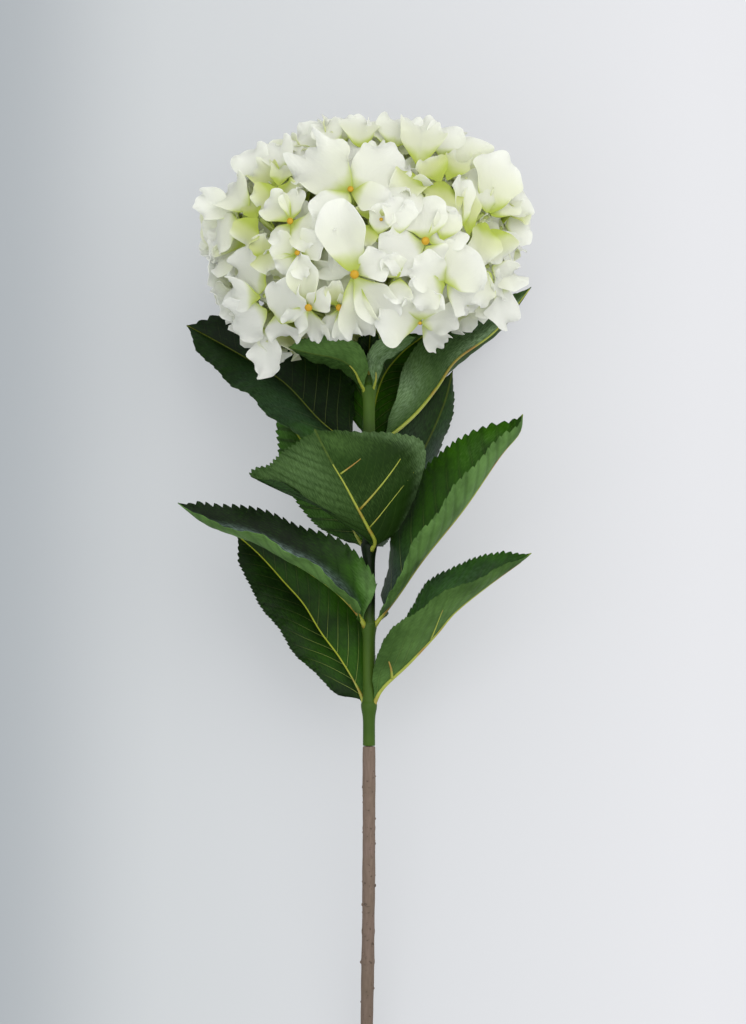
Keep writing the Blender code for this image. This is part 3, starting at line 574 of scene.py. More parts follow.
def blade_row(spec, path, u):
    """A row of the blade: u, its point of the rib, the tangent, and for each half the way out,
    its near face, the way it bulges and its width, in stem axes."""
    at = round(u * PATH_STEPS)
    ahead, behind = min(at + TANGENT_REACH, PATH_STEPS), max(at - TANGENT_REACH, 0)
    tangent = (path[ahead] - path[behind]).normalized()
    across = Vector((0.0, 0.0, 1.0)).cross(tangent).normalized()
    away = tangent.cross(across).normalized()
    halves = {}
    for which, side in (("left", 1), ("right", -1)):
        base, middle, tip = spec[which + "_raise"]
        lift = base * (1 - u) * (1 - 2 * u) + middle * 4 * u * (1 - u) + tip * u * (2 * u - 1)
        lift = math.radians(lift * smooth_step(0.02, 0.02 + PETIOLE_SHARE, u))
        out = across * (side * math.cos(lift)) + away * math.sin(lift)
        face = tangent.cross(out) * side
        bulge = face if face.z > 0 else -face
        width = max(0.2, eased(STATIONS, (PETIOLE_HALF_WIDTH, *spec[which], 0.0), u))
        halves[side] = (out + tangent * swept(spec, side), face, bulge, width)
    step = min(int(u * PATH_STEPS), PATH_STEPS - 1)
    rib = path[step].lerp(path[step + 1], u * PATH_STEPS - step)
    return u, rib, tangent, halves


def blade_spot(spec, row, side, v, bite, length, vein_gap):
    """A point of the blade, v out from the rib to the edge, in stem axes, and its vein index."""
    u, rib, tangent, halves = row
    out, face, bulge, width = halves[side]
    across = v * width
    slant = max(0.0, spec.get("slant", VEIN_SLANT) - swept(spec, side))
    index = (u * length - slant * across - 0.006 * across**2) / vein_gap + (0.25 if side < 0 else 0)
    swell = (abs(math.sin(math.pi * index)) ** 0.8 - 0.6) * smooth_step(0.0, 0.25, v)
    swell *= (1.0 - smooth_step(0.75, 1.0, v)) * min(1.0, width / 15.0) * SWELL * spec["quilt"][side < 0]
    swell *= -1.0 if spec["upper_near"] else 1.0
    flutter = FLUTTER * math.sin(26.0 * u + side) * min(1.0, width / 12.0) * v * v
    fine = 0.35 * math.sin(95.0 * u + 2.0 * side) * v**4 * min(1.0, width / 12.0)
    tooth = bite * min(1.0, width / 8.0) * spec["teeth"][side < 0]
    spot = rib + out * (across + tooth * spec["tooth"]) + tangent * (tooth * 0.35 * spec["pitch"])
    return spot + bulge * (width * 0.4 * v * (1.0 - v) + flutter + fine) + face * swell, index


def build_blade(work, spec, length, vein_gap, path):
    """The cloth of one leaf as a grid, with its teeth and the swell between its side veins."""
    work.verts.layers.float_vector.new("leaf_way")
    for key in LEAF_LAYERS:
        work.verts.layers.float.new("leaf_" + key)
    way = work.verts.layers.float_vector["leaf_way"]
    edge, tone, painted_sheen, printed, quilt = [work.verts.layers.float["leaf_" + key] for key in LEAF_LAYERS]
    rows = round(length * (1.0 - BLADE_START) / spec["pitch"]) * len(TOOTH_ROWS)
    starts = [BLADE_START + (1.0 - BLADE_START) * row / rows for row in range(rows + 1)]
    table = [blade_row(spec, path, u) for u in starts]
    grid = bmesh.ops.create_grid(work, x_segments=2 * HALF_COLUMNS, y_segments=rows, size=1.0)["verts"]
    for vert in grid:
        row = round((vert.co.y + 1.0) / 2.0 * rows)
        column = round(vert.co.x * HALF_COLUMNS)
        half = 1 if column > 0 else 0
        side = -1 if half else 1
        v = (abs(column) / HALF_COLUMNS) ** 1.2
        u = table[row][0]
        bite = TOOTH_ROWS[row % len(TOOTH_ROWS)] * smooth_step(0.8, 1.0, v) if 0 < row < rows else 0.0
        spot, index = blade_spot(spec, table[row], side, v, bite, length, vein_gap)
        vert.co = laid(*spot)
        vert[way] = (u * length, side * v * table[row][3][side][3], index)
        vert[edge] = v
        # each half's tone holds its own green together with painted light and shade
        vert[tone] = spec["tone"][half]
        vert[printed] = spec["printed"]
        vert[quilt] = spec["quilt"][half]
        # patches of painted light and shade, and of painted sheen
        for where, u_mid, v_mid, u_reach, v_reach, painted_light_and_shade, sheen_added in spec.get("brushed", ()):
            if where in (0, side):
                share = math.exp(-(((u - u_mid) / u_reach) ** 2) - ((v - v_mid) / v_reach) ** 2)
                vert[tone] += painted_light_and_shade * share
                vert[painted_sheen] += sheen_added * share


def leaf_cloth(name, upper):
    """Printed and pressed polyester leaf cloth, for its waxed upper side or its dull underside."""
    look, tree, shader = new_material(name, Roughness=0.45 if upper else 0.6, IOR=1.47)
    if upper:
        codes = ("#0B1C05", "#2B5404", "#071204", "#93A653", "#A4AE38", "#7E9690")
    else:
        codes = ("#182D08", "#527338", "#1E380C", "#7F9A4C", "#8E9C40", "#86A07C")
    deep, light, cloud_and_valley_shade, vein_tone, rib_tone, sheen_tone = [linear(code) for code in codes]
    way = add(tree, "Attribute", attribute_name="leaf_way").outputs["Vector"]
    edge, tone, painted_sheen, printed, pressed = [
        add(tree, "Attribute", attribute_name="leaf_" + key).outputs["Fac"] for key in LEAF_LAYERS
    ]
    place = add(tree, "TexCoord").outputs["Object"]
    # the midrib 1.5 mm wide, and the side veins, which fade towards the edge and the tip
    along, outwards, index = add(tree, "SeparateXYZ", {0: way}).outputs
    off_rib = add(tree, "Math", {0: outwards}, operation="ABSOLUTE").outputs[0]
    rib = add(tree, "MapRange", {0: off_rib, 1: 0.3, 2: 0.75, 3: 1.0, 4: 0.0},
              interpolation_type="SMOOTHSTEP").outputs[0]
    turn = add(tree, "Math", {0: index}, operation="FRACT").outputs[0]
    centred = add(tree, "Math", {0: turn, 1: 0.5}, operation="SUBTRACT").outputs[0]
    off_vein = add(tree, "Math", {0: centred}, operation="ABSOLUTE").outputs[0]
    vein = add(tree, "MapRange", {0: off_vein, 1: 0.5, 2: 0.472, 3: 1.0, 4: 0.0},
               interpolation_type="SMOOTHSTEP").outputs[0]
    outer = add(tree, "MapRange", {0: edge, 1: 0.4, 2: 0.9, 3: 1.0, 4: 0.0}).outputs[0]
    near = add(tree, "MapRange", {0: along, 1: 45.0, 2: 75.0, 3: 1.0, 4: 0.15}).outputs[0]
    for fade in (outer, near):
        vein = add(tree, "Math", {0: vein, 1: fade}, operation="MULTIPLY").outputs[0]
    puff = add(tree, "MapRange", {0: off_vein, 1: 0.5, 2: 0.15, 3: 0.0, 4: 1.0},
               interpolation_type="SMOOTHSTEP").outputs[0]
    # threads drawn out to 3.5 mm and 0.55 mm apart, a weave shown at 1.4 mm, clouds 20 mm across
    drawn = add(tree, "VectorMath", {0: way, 1: (1.0 / 3.5, 1.0 / 0.55, 0.0)},
                operation="MULTIPLY").outputs[0]
    threads = add(tree, "TexNoise", {"Vector": drawn, "Scale": 1.0, "Detail": 4.0}).outputs[0]
    weave = add(tree, "TexNoise", {"Vector": place, "Scale": cells(1.43), "Detail": 4.0}).outputs[0]
    clouds = add(tree, "TexNoise", {"Vector": place, "Scale": cells(20.0), "Detail": 3.0}).outputs[0]
    brushed = add(tree, "Math", {0: threads, 1: 0.5}, operation="SUBTRACT").outputs[0]
    tone = add(tree, "Math", {0: brushed, 1: 1.1, 2: tone}, operation="MULTIPLY_ADD").outputs[0]
    # one coat over the other: paler where the tone, with its painted light, runs past 1, clouded,
    # painted shade in the valleys, painted sheen, and the printed lines
    paler = add(tree, "MapRange", {0: tone, 1: 1.0, 2: 2.0, 3: 0.0, 4: 1.0}).outputs[0]
    clouded = add(tree, "MapRange", {0: clouds, 1: 0.42, 2: 0.7, 3: 0.0, 4: 0.6}).outputs[0]
    # painted shade in the valleys between the puffed panels, in the same dark tone as the clouds
    painted_valley_shade = add(tree, "MapRange", {0: puff, 1: 0.0, 2: 0.7, 3: 0.6, 4: 0.0}).outputs[0]
    painted_valley_shade = add(tree, "Math", {0: painted_valley_shade, 1: pressed}, operation="MULTIPLY").outputs[0]
    grain = add(tree, "MapRange", {0: threads, 1: 0.44, 2: 0.56, 3: 0.4, 4: 1.0}).outputs[0]
    # painted sheen: silvery streaks along the threads, standing in for glints of light
    sheen_share = add(tree, "Math", {0: grain, 1: painted_sheen}, operation="MULTIPLY", use_clamp=True).outputs[0]
    vein_print = add(tree, "Math", {0: vein, 1: printed}, operation="MULTIPLY").outputs[0]
    rib_print = add(tree, "Math", {0: rib, 1: printed}, operation="MULTIPLY").outputs[0]
    ground = add(tree, "Mix", {0: tone, 6: deep, 7: light}, data_type="RGBA").outputs[2]
    coats = ((paler, linear("#6B9450")), (clouded, cloud_and_valley_shade), (painted_valley_shade, cloud_and_valley_shade), (sheen_share, sheen_tone),
             (vein_print, vein_tone), (rib_print, rib_tone))
    for share, shade in coats:
        ground = add(tree, "Mix", {0: share, 6: ground, 7: shade}, data_type="RGBA").outputs[2]
    tree.links.new(ground, shader.inputs["Base Color"])
    gloss = add(tree, "Math", {0: sheen_share, 1: 0.4, 2: 0.12 if upper else 0.1},
                operation="MULTIPLY_ADD").outputs[0]
    tree.links.new(gloss, shader.inputs["Specular IOR Level"])
    # pressed relief: veins sink in the upper side and stand out below
    lines = add(tree, "Math", {0: vein, 1: rib}, operation="MAXIMUM").outputs[0]
    lines = add(tree, "Math", {0: lines, 1: pressed}, operation="MULTIPLY").outputs[0]
    height = add(tree, "Math", {0: lines, 1: -0.8 if upper else 0.6}, operation="MULTIPLY").outputs[0]
    puffed = add(tree, "Math", {0: puff, 1: pressed}, operation="MULTIPLY").outputs[0]
    for part, share in ((puffed, 0.9), (threads, 0.5), (weave, 0.3)):
        height = add(tree, "Math", {0: part, 1: share, 2: height}, operation="MULTIPLY_ADD").outputs[0]
    bump = add(tree, "Bump", {"Height": height, "Strength": 0.7, "Distance": 0.0006})
    tree.links.new(bump.outputs[0], shader.inputs["Normal"])
    return look


# Waxed cloth above: deep green, half gloss, with pale printed veins. Dull cloth below: a paler,
# greyer green with standing veins.
waxed_cloth = leaf_cloth("waxed_leaf_cloth", True)
dull_cloth = leaf_cloth("dull_leaf_cloth", False)

# Moulded petiole: soft yellow-green polyethylene mottled at 4.5 mm, brushed with rust-brown in
# patches 17 mm apart.
petiole_look, tree, shader = new_material("moulded_petiole_polyethylene", Roughness=0.4, IOR=1.5)
place = add(tree, "TexCoord").outputs["Object"]
brushed = add(tree, "TexNoise", {"Vector": place, "Scale": cells(16.7), "Detail": 3.0}).outputs[0]
rusty = add(tree, "MapRange", {0: brushed, 1: 0.5, 2: 0.66, 3: 0.0, 4: 0.8}).outputs[0]
mottle = add(tree, "TexNoise", {"Vector": place, "Scale": cells(4.55), "Detail": 2.0}).outputs[0]
tone = add(tree, "Mix", {0: mottle, 6: linear("#7A8A26"), 7: linear("#A9AE42")},
           data_type="RGBA").outputs[2]
tone = add(tree, "Mix", {0: rusty, 6: tone, 7: linear("#96662A")}, data_type="RGBA").outputs[2]
tree.links.new(tone, shader.inputs["Base Color"])

for name, spec in LEAVES.items():
    work = bmesh.new()
    path, length = path_through(spec["rib"], PATH_STEPS + 1)
    vein_gap = max(4.0, length / 13.0)
    build_blade(work, spec, length, vein_gap, path)
    for seam in work.edges:
        seam.smooth = not seam.is_boundary
    sides = (waxed_cloth, dull_cloth) if spec["upper_near"] else (dull_cloth, waxed_cloth)
    blade = mesh_piece(name + "_blade", work, *sides)
    wall = blade.modifiers.new("cloth", "SOLIDIFY")
    wall.thickness = CLOTH * MM
    wall.offset = 0.0
    wall.material_offset = 1
    wall.material_offset_rim = 1 if spec["upper_near"] else 0
    graph = bpy.context.evaluated_depsgraph_get()
    solid = bpy.data.meshes.new_from_object(blade.evaluated_get(graph))
    bpy.data.objects.remove(blade, do_unlink=True)
    work = bmesh.new()
    work.from_mesh(solid)
    # the petiole and midrib, half sunk in the underside, and less where a half stands steep
    under = -1.0 if spec["upper_near"] else 1.0
    left_angle, right_angle = spec["left_raise"][1], spec["right_raise"][1]
    sunk = 0.35 if min(left_angle, right_angle) < -STEEP or left_angle > STEEP else 0.8
    points, radii = [], []
    for step in range(RIB_STEPS + 1):
        u = RIB_START + (spec["rib_reach"] * 0.99 - RIB_START) * step / RIB_STEPS
        _, point, _, halves = blade_row(spec, path, u)
        face = (halves[1][1] + halves[-1][1]).normalized()
        size = RIB_RADIUS + RIB_FOOT * math.exp(-((u / 0.03) ** 2))
        size -= RIB_TAPER * (u / spec["rib_reach"]) ** 0.8
        point = point + face * (under * sunk * size * smooth_step(0.05, 0.2, u))
        points.append(laid(*point))
        radii.append(max(0.2, size * (1.0 + 0.2 * min(1.0, length / 100.0))) * MM)
    tube(work, points, radii, 10, material=2)
    for side, u_from, v_from, u_to, v_to, thick in spec.get("twigs", ()):
        points, radii = [], []
        for step in range(TWIG_STEPS + 1):
            t = step / TWIG_STEPS
            row = blade_row(spec, path, u_from + (u_to - u_from) * t)
            spot, _ = blade_spot(spec, row, side, v_from + (v_to - v_from) * t, 0.0, length, vein_gap)
            points.append(laid(*(spot + row[3][side][1] * (under * 0.25 * thick))))
            radii.append(thick * (1.0 - 0.6 * step / TWIG_STEPS) * MM)
        tube(work, points, radii, 8, material=2)
    leaf = mesh_piece(name + "_cloth", work, *sides, petiole_look)
    bpy.data.meshes.remove(solid)
    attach(leaf, "root")
    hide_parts(name)

# ---------------------------------------------------------------------------------------------
# The flower head. Florets of four silk petals each, cut, pressed into ruffles and dyed
# yellow-green at the middle, pushed onto moulded stalks and held by a small bead. The open ones
# on its face are set petal by petal; small ones fill the dome between and under them.
# ---------------------------------------------------------------------------------------------
DOME = (87.0, 68.0, 79.0)
RIM_LOW = -33.0  # how far from the head's middle small florets reach down its face
LOWEST_FLORET = math.radians(138.0)
LOWEST_BENEATH = math.radians(116.0)
FACE_SHARE = 0.86  # the small florets under the open ones sit lower
RESTING_SPACE = 26.0  # kept free round the floret that the head rests on
NOTCH_X = 58.0  # past this x, and between these s, small florets stand back from a leaf's tip
NOTCH_S = (518.0, 564.0)
NOTCH_DEPTH = 15.0
COVER_REACH = 0.55  # an open petal covers this share of its width to either side
COVER_GAP = 7.0
CLAW_SINK = 3.0
PETAL_LENGTH = 28.0
REST_PETAL = 27.0
PETAL_HALF = 0.56
PETAL_BROAD = 0.62  # how far along a petal is broadest
ARCH = (-0.06, 0.14)
RUFFLES = (3.0, 5.0)
RUFFLE_DEPTH = (0.1, 0.21)
TWIST = 0.25
CREASE = (0.02, 0.09)
PRESS_DEPTH = 9.0
PRESS_FLOOR = 0.9
SILK = 0.3
BEAD = 2.7
FACE_BEAD = 0.85
STALK = ((0, 1.5), (0.2, 1.3), (0.4, 1.1), (0.6, 1.0), (0.8, 0.95), (1.0, 1.3))
FORK_S = 500.0
TABLE_WAY = Vector((0.0, -SLOPE_SIN, -SLOPE_COS))  # straight down, in the stem's own axes

# The layers of small florets: seats tried, share of the dome's size, least spacing, cells across
# a petal, and the least that the yellow-green runs, which besides the dye is painted yellow-green
# shade in the deeper layers, where the recesses are.
LAYERS = (
    (230, 0.93, 17.0, 8, 0.2),
    (130, 0.74, 15.5, 6, 1.0),
    (130, 0.55, 15.5, 5, 1.0),
)

# Each petal of the open florets: x and s of its claw and of its tip, how far each stands off the
# dome, its width, how its sides roll, how its tip hooks over, and how far the yellow-green runs.
FACE_PETALS = (
    (-60.6, 552.42, -64.8, 568.02, -3, 0, 14, 0.8, 0, 0.9),
    (-63, 560.82, -58.2, 545.22, -3, 0, 16, 0.8, 0, 0.7),
    (-8.4, 543.4, -20.7, 586.8, 12, 15, 28, 1, 0, 0.15),
    (-8.4, 541, 14.9, 515.7, 10, 3, 24, 0.9, 0.15, 0.15),
    (-10.2, 540.4, -3.7, 505.4, 9, 0, 22, 0.8, 0.1, 0.21),
    (-6.6, 543.4, 10.9, 554.4, 8, 6, 20, 0.9, 0.1, 0.06),
    (-10.8, 592, -38.7, 614.7, 6, 6, 36, 0.7, -0.1, 0.15),
    (-10.8, 593.8, -10.2, 629.4, 4, 1, 36, 0.6, 0.05, 0.12),
    (-9.6, 593.2, 19.6, 613.3, 4, 4, 35, -0.56, -0.05, 0.09),
    (-10.2, 592, 13.1, 582.9, 5, 4, 19, 0.9, 0.1, 0.18),
    (-12, 591.4, -29.5, 570, 6, 4, 26, 0.8, 0.1, 0.03),
    (32.4, 560.8, 7.1, 553, 6, 6, 29, -0.49, 0, 0.03),
    (33.6, 563.8, 29.1, 589.1, 6, 5, 31, 0.7, 0.05, 0.09),
    (35.4, 562, 54.8, 575, 6, 4, 24, 0.6, 0, 0.06),
    (33.6, 559.6, 43.3, 546.6, 6, 5, 22, -0.56, 0.2, 0.06),
    (44.4, 539.2, 64.5, 554.8, 7, 8, 34, -0.5, -0.05, 0.15),
    (44.4, 539.2, 26.3, 550.9, 7, 5, 23, 0.6, 0.1, 0.09),
    (44.4, 538, 24.3, 530.2, 8, 6, 24, -0.49, 0.1, 0.12),
    (46.2, 537.4, 65.6, 530.3, 8, 5, 26, 0.6, 0.1, 0.06),
    (30, 515.8, 4.7, 520.3, 5, 2, 29, 0.7, 0.1, 0.15),
    (31.2, 515.8, 59.7, 520.3, 6, 2, 22, -0.42, 0.1, 0.12),
    (31.8, 514, 46.8, 500.82, 4, -3, 15, 0.7, 0.1, 0.03),
    (30, 517, 33.9, 533.8, 6, 8, 24, 0.9, 0.15, 0.12),
    (-35.4, 523.6, -38, 556, 7, 5, 19, 1.2, 0, 0.3),
    (-36, 523, -28.9, 504.2, 6, 0, 17, 1.1, 0.1, 0.18),
    (-36.6, 524.2, -47, 514.5, 6, 3, 16, 0.8, 0.1, 0.06),
    (-34.2, 523.6, -25.1, 532.7, 6, 6, 16, 1, 0.1, 0.15),
    (-17.4, 523.6, -21.3, 539.2, 2, 4, 13, 1, 0, 0.7),
    (-16.8, 523, -10.3, 504.2, 2, 1, 16, 0.9, 0.2, 0.06),
    (-18, 523, -23.2, 504.2, 2, 0, 14, -0.63, 0.1, 0.09),
    (-16.2, 524.2, -9.7, 531.3, 2, 2, 12, 0.9, 0.1, 0.18),
    (-42, 556, -56.9, 563.8, 4, 5, 17, 1, 0.1, 0.3),
    (-41.4, 554.8, -37.5, 540.5, 4, 7, 13, 1.2, 0.1, 0.12),
    (-42.6, 554.2, -52.3, 544.5, 4, 4, 17, 0.9, 0.1, 0.3),
    (-40.2, 556.6, -27.2, 563.7, 4, 5, 20, 0.9, 0.1, 0.18),
    (-46.2, 575.2, -59.2, 589.5, 5, 5, 20, 1, 0, 0.33),
    (-45.6, 575.8, -43, 594.6, 5, 5, 16, 1.1, 0.1, 0.24),
    (-45.6, 573.4, -30.7, 563.7, 5, 3, 22, 0.7, 0.1, 0.24),
    (-47.4, 573.4, -53.2, 558.5, 5, 5, 19, -0.63, 0.1, 0.18),
    (-55.2, 595.6, -66.2, 611.2, 2, 4, 19, 1.1, 0, 0.9),
    (-54.6, 595.6, -68.2, 586.5, 2, 4, 17, 1, 0.1, 0.9),
    (-54, 596.2, -43, 587.8, 2, 4, 19, 1, 0.1, 0.7),
    (-53.4, 596.8, -48.2, 611.1, 2, 4, 16, 1.1, 0.1, 0.6),
    (-60.6, 536.82, -83.4, 552.42, 9, 4, 28, -0.3, 0.05, 0.12),
    (-64.2, 530.82, -84.6, 539.22, 8, 2, 22, 0.5, 0.1, 0.03),
    (-60.6, 523.62, -84.6, 515.22, 6, 1, 28, -0.3, 0.15, 0),
    (-52.2, 515.22, -45, 540.42, 8, 8, 24, 0.4, 0, 0.06),
    (-61.2, 514.02, -61.2, 484.02, 3, -2, 20, 0.2, -0.1, 0),
    (-55.8, 520.02, -46.2, 505.62, 5, 1, 20, 0.4, 0.1, 0.03),
    (-77.4, 581.2, -100.7, 590.3, -4, -6, 19, 1, -0.25, 0.12),
    (-75, 575.2, -95.7, 566.1, -2, -6, 24, -0.49, 0.2, 0.12),
    (-71.4, 582.4, -83.1, 600.5, 0, -3, 24, 0.8, 0.1, 0.18),
    (-66.6, 577.6, -70.5, 594.4, 3, 5, 17, 1.2, 0.1, 1),
    (-66, 577.6, -75.7, 562, 3, 3, 20, 1, 0.1, 0.9),
    (-64.2, 601.6, -72, 622.3, -4, -6, 23, 0.7, 0.1, 0.06),
    (-51, 605.2, -56.2, 627.2, -3, -5, 20, 0.8, 0.1, 0.09),
    (-48.6, 604, -45.4, 624.7, -3, -4, 17, -0.56, 0.1, 0.15),
    (-30.6, 620.8, -38.4, 631.2, -3, -5, 24, 0.8, 0.1, 0.12),
    (-19.8, 622, -28.9, 636.3, -3, -5, 19, 0.8, 0.1, 0.09),
    (-16.2, 624.4, -17.5, 641.2, -4, -6, 22, -0.56, 0.1, 0.09),
    (-5.4, 620.8, -5.4, 641.5, -3, -6, 22, 0.7, 0.1, 0.3),
    (10.2, 623.2, 5, 638.8, -4, -6, 19, 0.8, 0.1, 0.09),
    (15, 620.8, 21.5, 641.5, -4, -6, 26, -0.49, 0.1, 0.12),
    (29.2, 608.6, 31.8, 641.6, -4, -6, 27, 0.8, 0.1, 0.3),
    (42.6, 616, 45.2, 636.7, -4, -6, 24, 0.7, 0.1, 0.06),
    (60.6, 607.6, 59.3, 628.3, -5, -8, 34, -0.5, 0, 0.27),
    (1.8, 608.8, 10.9, 621.8, 3, 3, 17, 0.9, 0.1, 0.12),
    (42.6, 599.2, 32.2, 612.2, 0, 2, 20, 0.9, 0, 0.9),
    (43.8, 599.2, 42.5, 579.8, 0, 4, 24, -0.56, 0.1, 0.95),
    (46.2, 600.4, 54, 616, 1, 2, 17, 0.9, 0.1, 0.7),
    (29.4, 601.6, 17.7, 592.5, 1, 4, 22, 0.9, 0.1, 0.7),
    (27, 596.8, 17.9, 581.2, 2, 6, 22, -0.56, 0.1, 0.09),
    (54.6, 571.6, 54, 602.7, 4, 8, 14, 1.3, 0, 0.18),
    (58.8, 566.8, 58.2, 595.3, 3, 6, 13, 1.3, 0, 0.8),
    (70.2, 581.2, 59.8, 607.1, 2, 4, 26, -0.56, 0, 0.12),
    (71.4, 581.2, 77.9, 617.5, 2, 2, 31, 0.8, 0, 0.27),
    (72.6, 580, 83, 594.3, 1, 0, 22, 0.9, 0.1, 0.3),
    (69, 575.2, 65.1, 551.9, 3, 5, 22, 1, 0.1, 0.6),
    (72.6, 571.6, 79.1, 552.2, 2, 1, 22, 0.8, 0.1, 0.6),
    (81, 582.4, 94, 594.1, -4, -8, 23, 0.7, 0.1, 0.09),
    (82.2, 574, 97.8, 576.6, -4, -8, 24, -0.49, 0.1, 0.06),
    (76.2, 565.2, 88.5, 556.4, -4, -8, 22, 0.7, 0.1, 0.03),
    (73.4, 549.8, 84.1, 538.7, -3, -6, 22, 0.7, 0.1, 0.06),
    (72.6, 545.2, 59.6, 529.6, 3, 3, 24, -0.49, 0.1, 0.18),
    (78.6, 539.2, 83.8, 513.3, -2, -8, 20, -0.5, 0, 0),
    (17.4, 566.8, 17.4, 588.8, 5, 7, 20, 0.9, 0, 0.06),
    (5.4, 566.8, 9.3, 584.9, 4, 7, 16, 1.1, 0, 0.12),
    (1.8, 571.6, -4.7, 561.2, 2, 4, 14, 0.8, 0.1, 1),
    (0.6, 575.2, 1.9, 584.3, 2, 4, 16, 0.8, 0.1, 1),
    (17.4, 541.6, 9.6, 554.6, 6, 7, 16, 1, 0, 0.18),
    (18.6, 540.4, 16, 526.1, 5, 5, 17, 0.9, 0.1, 0.24),
    (42.6, 563.2, 47.8, 583.9, 4, 6, 17, 0.9, 0.1, 0.24),
)

# Each bead on the face: x, s, how far off the dome, and its size.
FACE_BEADS = (
    (-8.4, 542.8, 12, 1.2),
    (-10.8, 593.2, 5, 0.85),
    (33, 562.6, 7, 1.1),
    (-35.4, 524.2, 8, 1.05),
    (-17.4, 524.2, 3, 0.95),
    (-42, 556, 5, 0.75),
    (-46.2, 574.6, 6, 0.9),
    (30, 515.2, 6, 0.5),
    (7.2, 575.2, 3, 0.5),
)


def fill_seats(count, share, spacing, draw):
    """Places and normals of small florets, in a golden-angle spiral wherever the dome is bare."""
    seats = []
    for i in range(count):
        up = 1.0 - (i + 0.5) / count * (1.0 - math.cos(LOWEST_FLORET))
        around = i * math.pi * (3.0 - math.sqrt(5.0))
        ring = math.sqrt(1.0 - up * up)
        direction = Vector((ring * math.cos(around), up, ring * math.sin(around)))
        place = Vector([a * b for a, b in zip(direction, DOME)])
        normal = Vector([a / b for a, b in zip(direction, DOME)]).normalized()
        beneath = direction.z < -0.05 and up < math.cos(LOWEST_BENEATH)
        if beneath or (direction.z > 0.0 and place.y < RIM_LOW):
            continue
        behind = eased((0.1, 0.5), (1.0, FACE_SHARE), min(0.5, max(0.1, direction.z)))
        place = place * (share * behind * draw.uniform(0.94, 1.02))
        lean = Vector([draw.uniform(-0.45, 0.45) for _ in range(3)])
        near = min([(place - seat).length for seat, _ in seats] + [99.0])
        if near < spacing or (place - TABLE_WAY * HEAD_HEIGHT).length < RESTING_SPACE:
            continue
        seats.append((place, (normal + lean).normalized()))
    return seats


def on_head(spot):
    """A point given from the head's middle, in the frame, kept off the table where it is low."""
    point = laid(spot.x, HEAD_S + spot.y, spot.z)
    depth, floor = PRESS_DEPTH * MM, PRESS_FLOOR * MM
    if point.z < depth:
        point.z = floor + (depth - floor) * math.exp(-(depth - point.z) / (depth - floor))
    return point


def on_table(spot):
    """A point of the floret that the head rests on: flat on the table, its ruffles kept low."""
    point = laid(spot.x, HEAD_S + spot.y, spot.z)
    point.z = min(max(point.z, 0.3 * MM), 0.6 * MM)
    return point


def over_dome(x, s, off):
    """The point that stands off the face of the dome at x and s, and the dome's normal there."""
    place = Vector((x, s - HEAD_S, 0.0))
    share = sum((a / b) ** 2 for a, b in zip(place, DOME))
    place.z = DOME[2] * math.sqrt(max(0.03, 1.0 - share))
    normal = Vector([a / b**2 for a, b in zip(place, DOME)]).normalized()
    return place + Vector((0.0, 0.0, off)), normal


def tucked(place, tip):
    """The tip of a small petal, lowered where an open petal lies over it."""
    spot = place + tip
    if spot.z <= 0.0:
        return tip
    x, s = spot.x, spot.y + HEAD_S
    for claw_x, claw_s, end_x, end_s, off, end_off, width, *_ in FACE_PETALS:
        along = Vector((end_x - claw_x, end_s - claw_s))
        share = Vector((x - claw_x, s - claw_s)).dot(along) / along.length_squared
        share = min(1.0, max(0.0, share))
        aside = math.hypot(x - claw_x - along.x * share, s - claw_s - along.y * share)
        if aside < width * COVER_REACH:
            cover = over_dome(x, s, off + (end_off - off) * share - COVER_GAP)[0].z
            tip = Vector((tip.x, tip.y, min(tip.z, cover - place.z)))
    return tip


def silk_petal(work, centre, tip, normal, shape, draw, grain, tint, put):
    """One ruffled petal: a grid rolled, twisted and waved between its claw and its blunt tip."""
    length = tip.length
    ahead = tip.normalized()
    face = (normal - ahead * normal.dot(ahead)).normalized()
    aside = ahead.cross(face)
    width, roll, hook = shape
    arch = draw.uniform(*ARCH)
    waves = draw.uniform(*RUFFLES)
    depth = draw.uniform(*RUFFLE_DEPTH) * min(1.0, 1.1 * width)
    phases = draw.uniform(0, 6.3), draw.uniform(0, 6.3)
    twist = draw.uniform(-TWIST, TWIST)
    crease = draw.uniform(*CREASE)
    tone = work.verts.layers.float["petal_tint"]
    grid = bmesh.ops.create_grid(work, x_segments=grain, y_segments=grain, size=1.0, calc_uvs=True)
    for vert in grid["verts"]:
        # the square grid drawn into a round, then narrowed towards the claw
        a = vert.co.x * math.sqrt(1.0 - vert.co.y**2 * 0.43)
        c = vert.co.y * math.sqrt(1.0 - vert.co.x**2 / 2.0)
        b, rim, way = (c + 1.0) / 2.0, min(1.0, a * a + c * c), math.atan2(a, c)
        half = PETAL_HALF * width * (0.3 + 0.7 * math.sin(math.pi * min(1.0, b / PETAL_BROAD) / 2.0))
        half *= 1.0 + (0.08 * math.sin(5.0 * way + phases[0]) + 0.03 * math.sin(9.0 * way)) * rim
        flare = 0.35 + 0.65 * b
        bend = roll * a * flare
        over = math.sin(bend) / roll * half / flare
        lap = (1.0 - math.cos(bend)) / roll * half / flare
        lap += depth * rim**1.5 * b * math.sin(waves * way + phases[1])
        lap += 0.6 * depth * rim**3 * b * math.sin(2.0 * waves * way + phases[0])
        lap -= crease * math.exp(-((a / 0.2) ** 2)) * b * (1.0 - 0.7 * b)
        cos, sin = math.cos(twist * b), math.sin(twist * b)
        over, lap = over * cos - lap * sin, over * sin + lap * cos
        lap += arch * math.sin(math.pi * b) - hook * b**4
        vert.co = put(centre + (ahead * b + aside * over + face * lap) * length)
        vert[tone] = tint


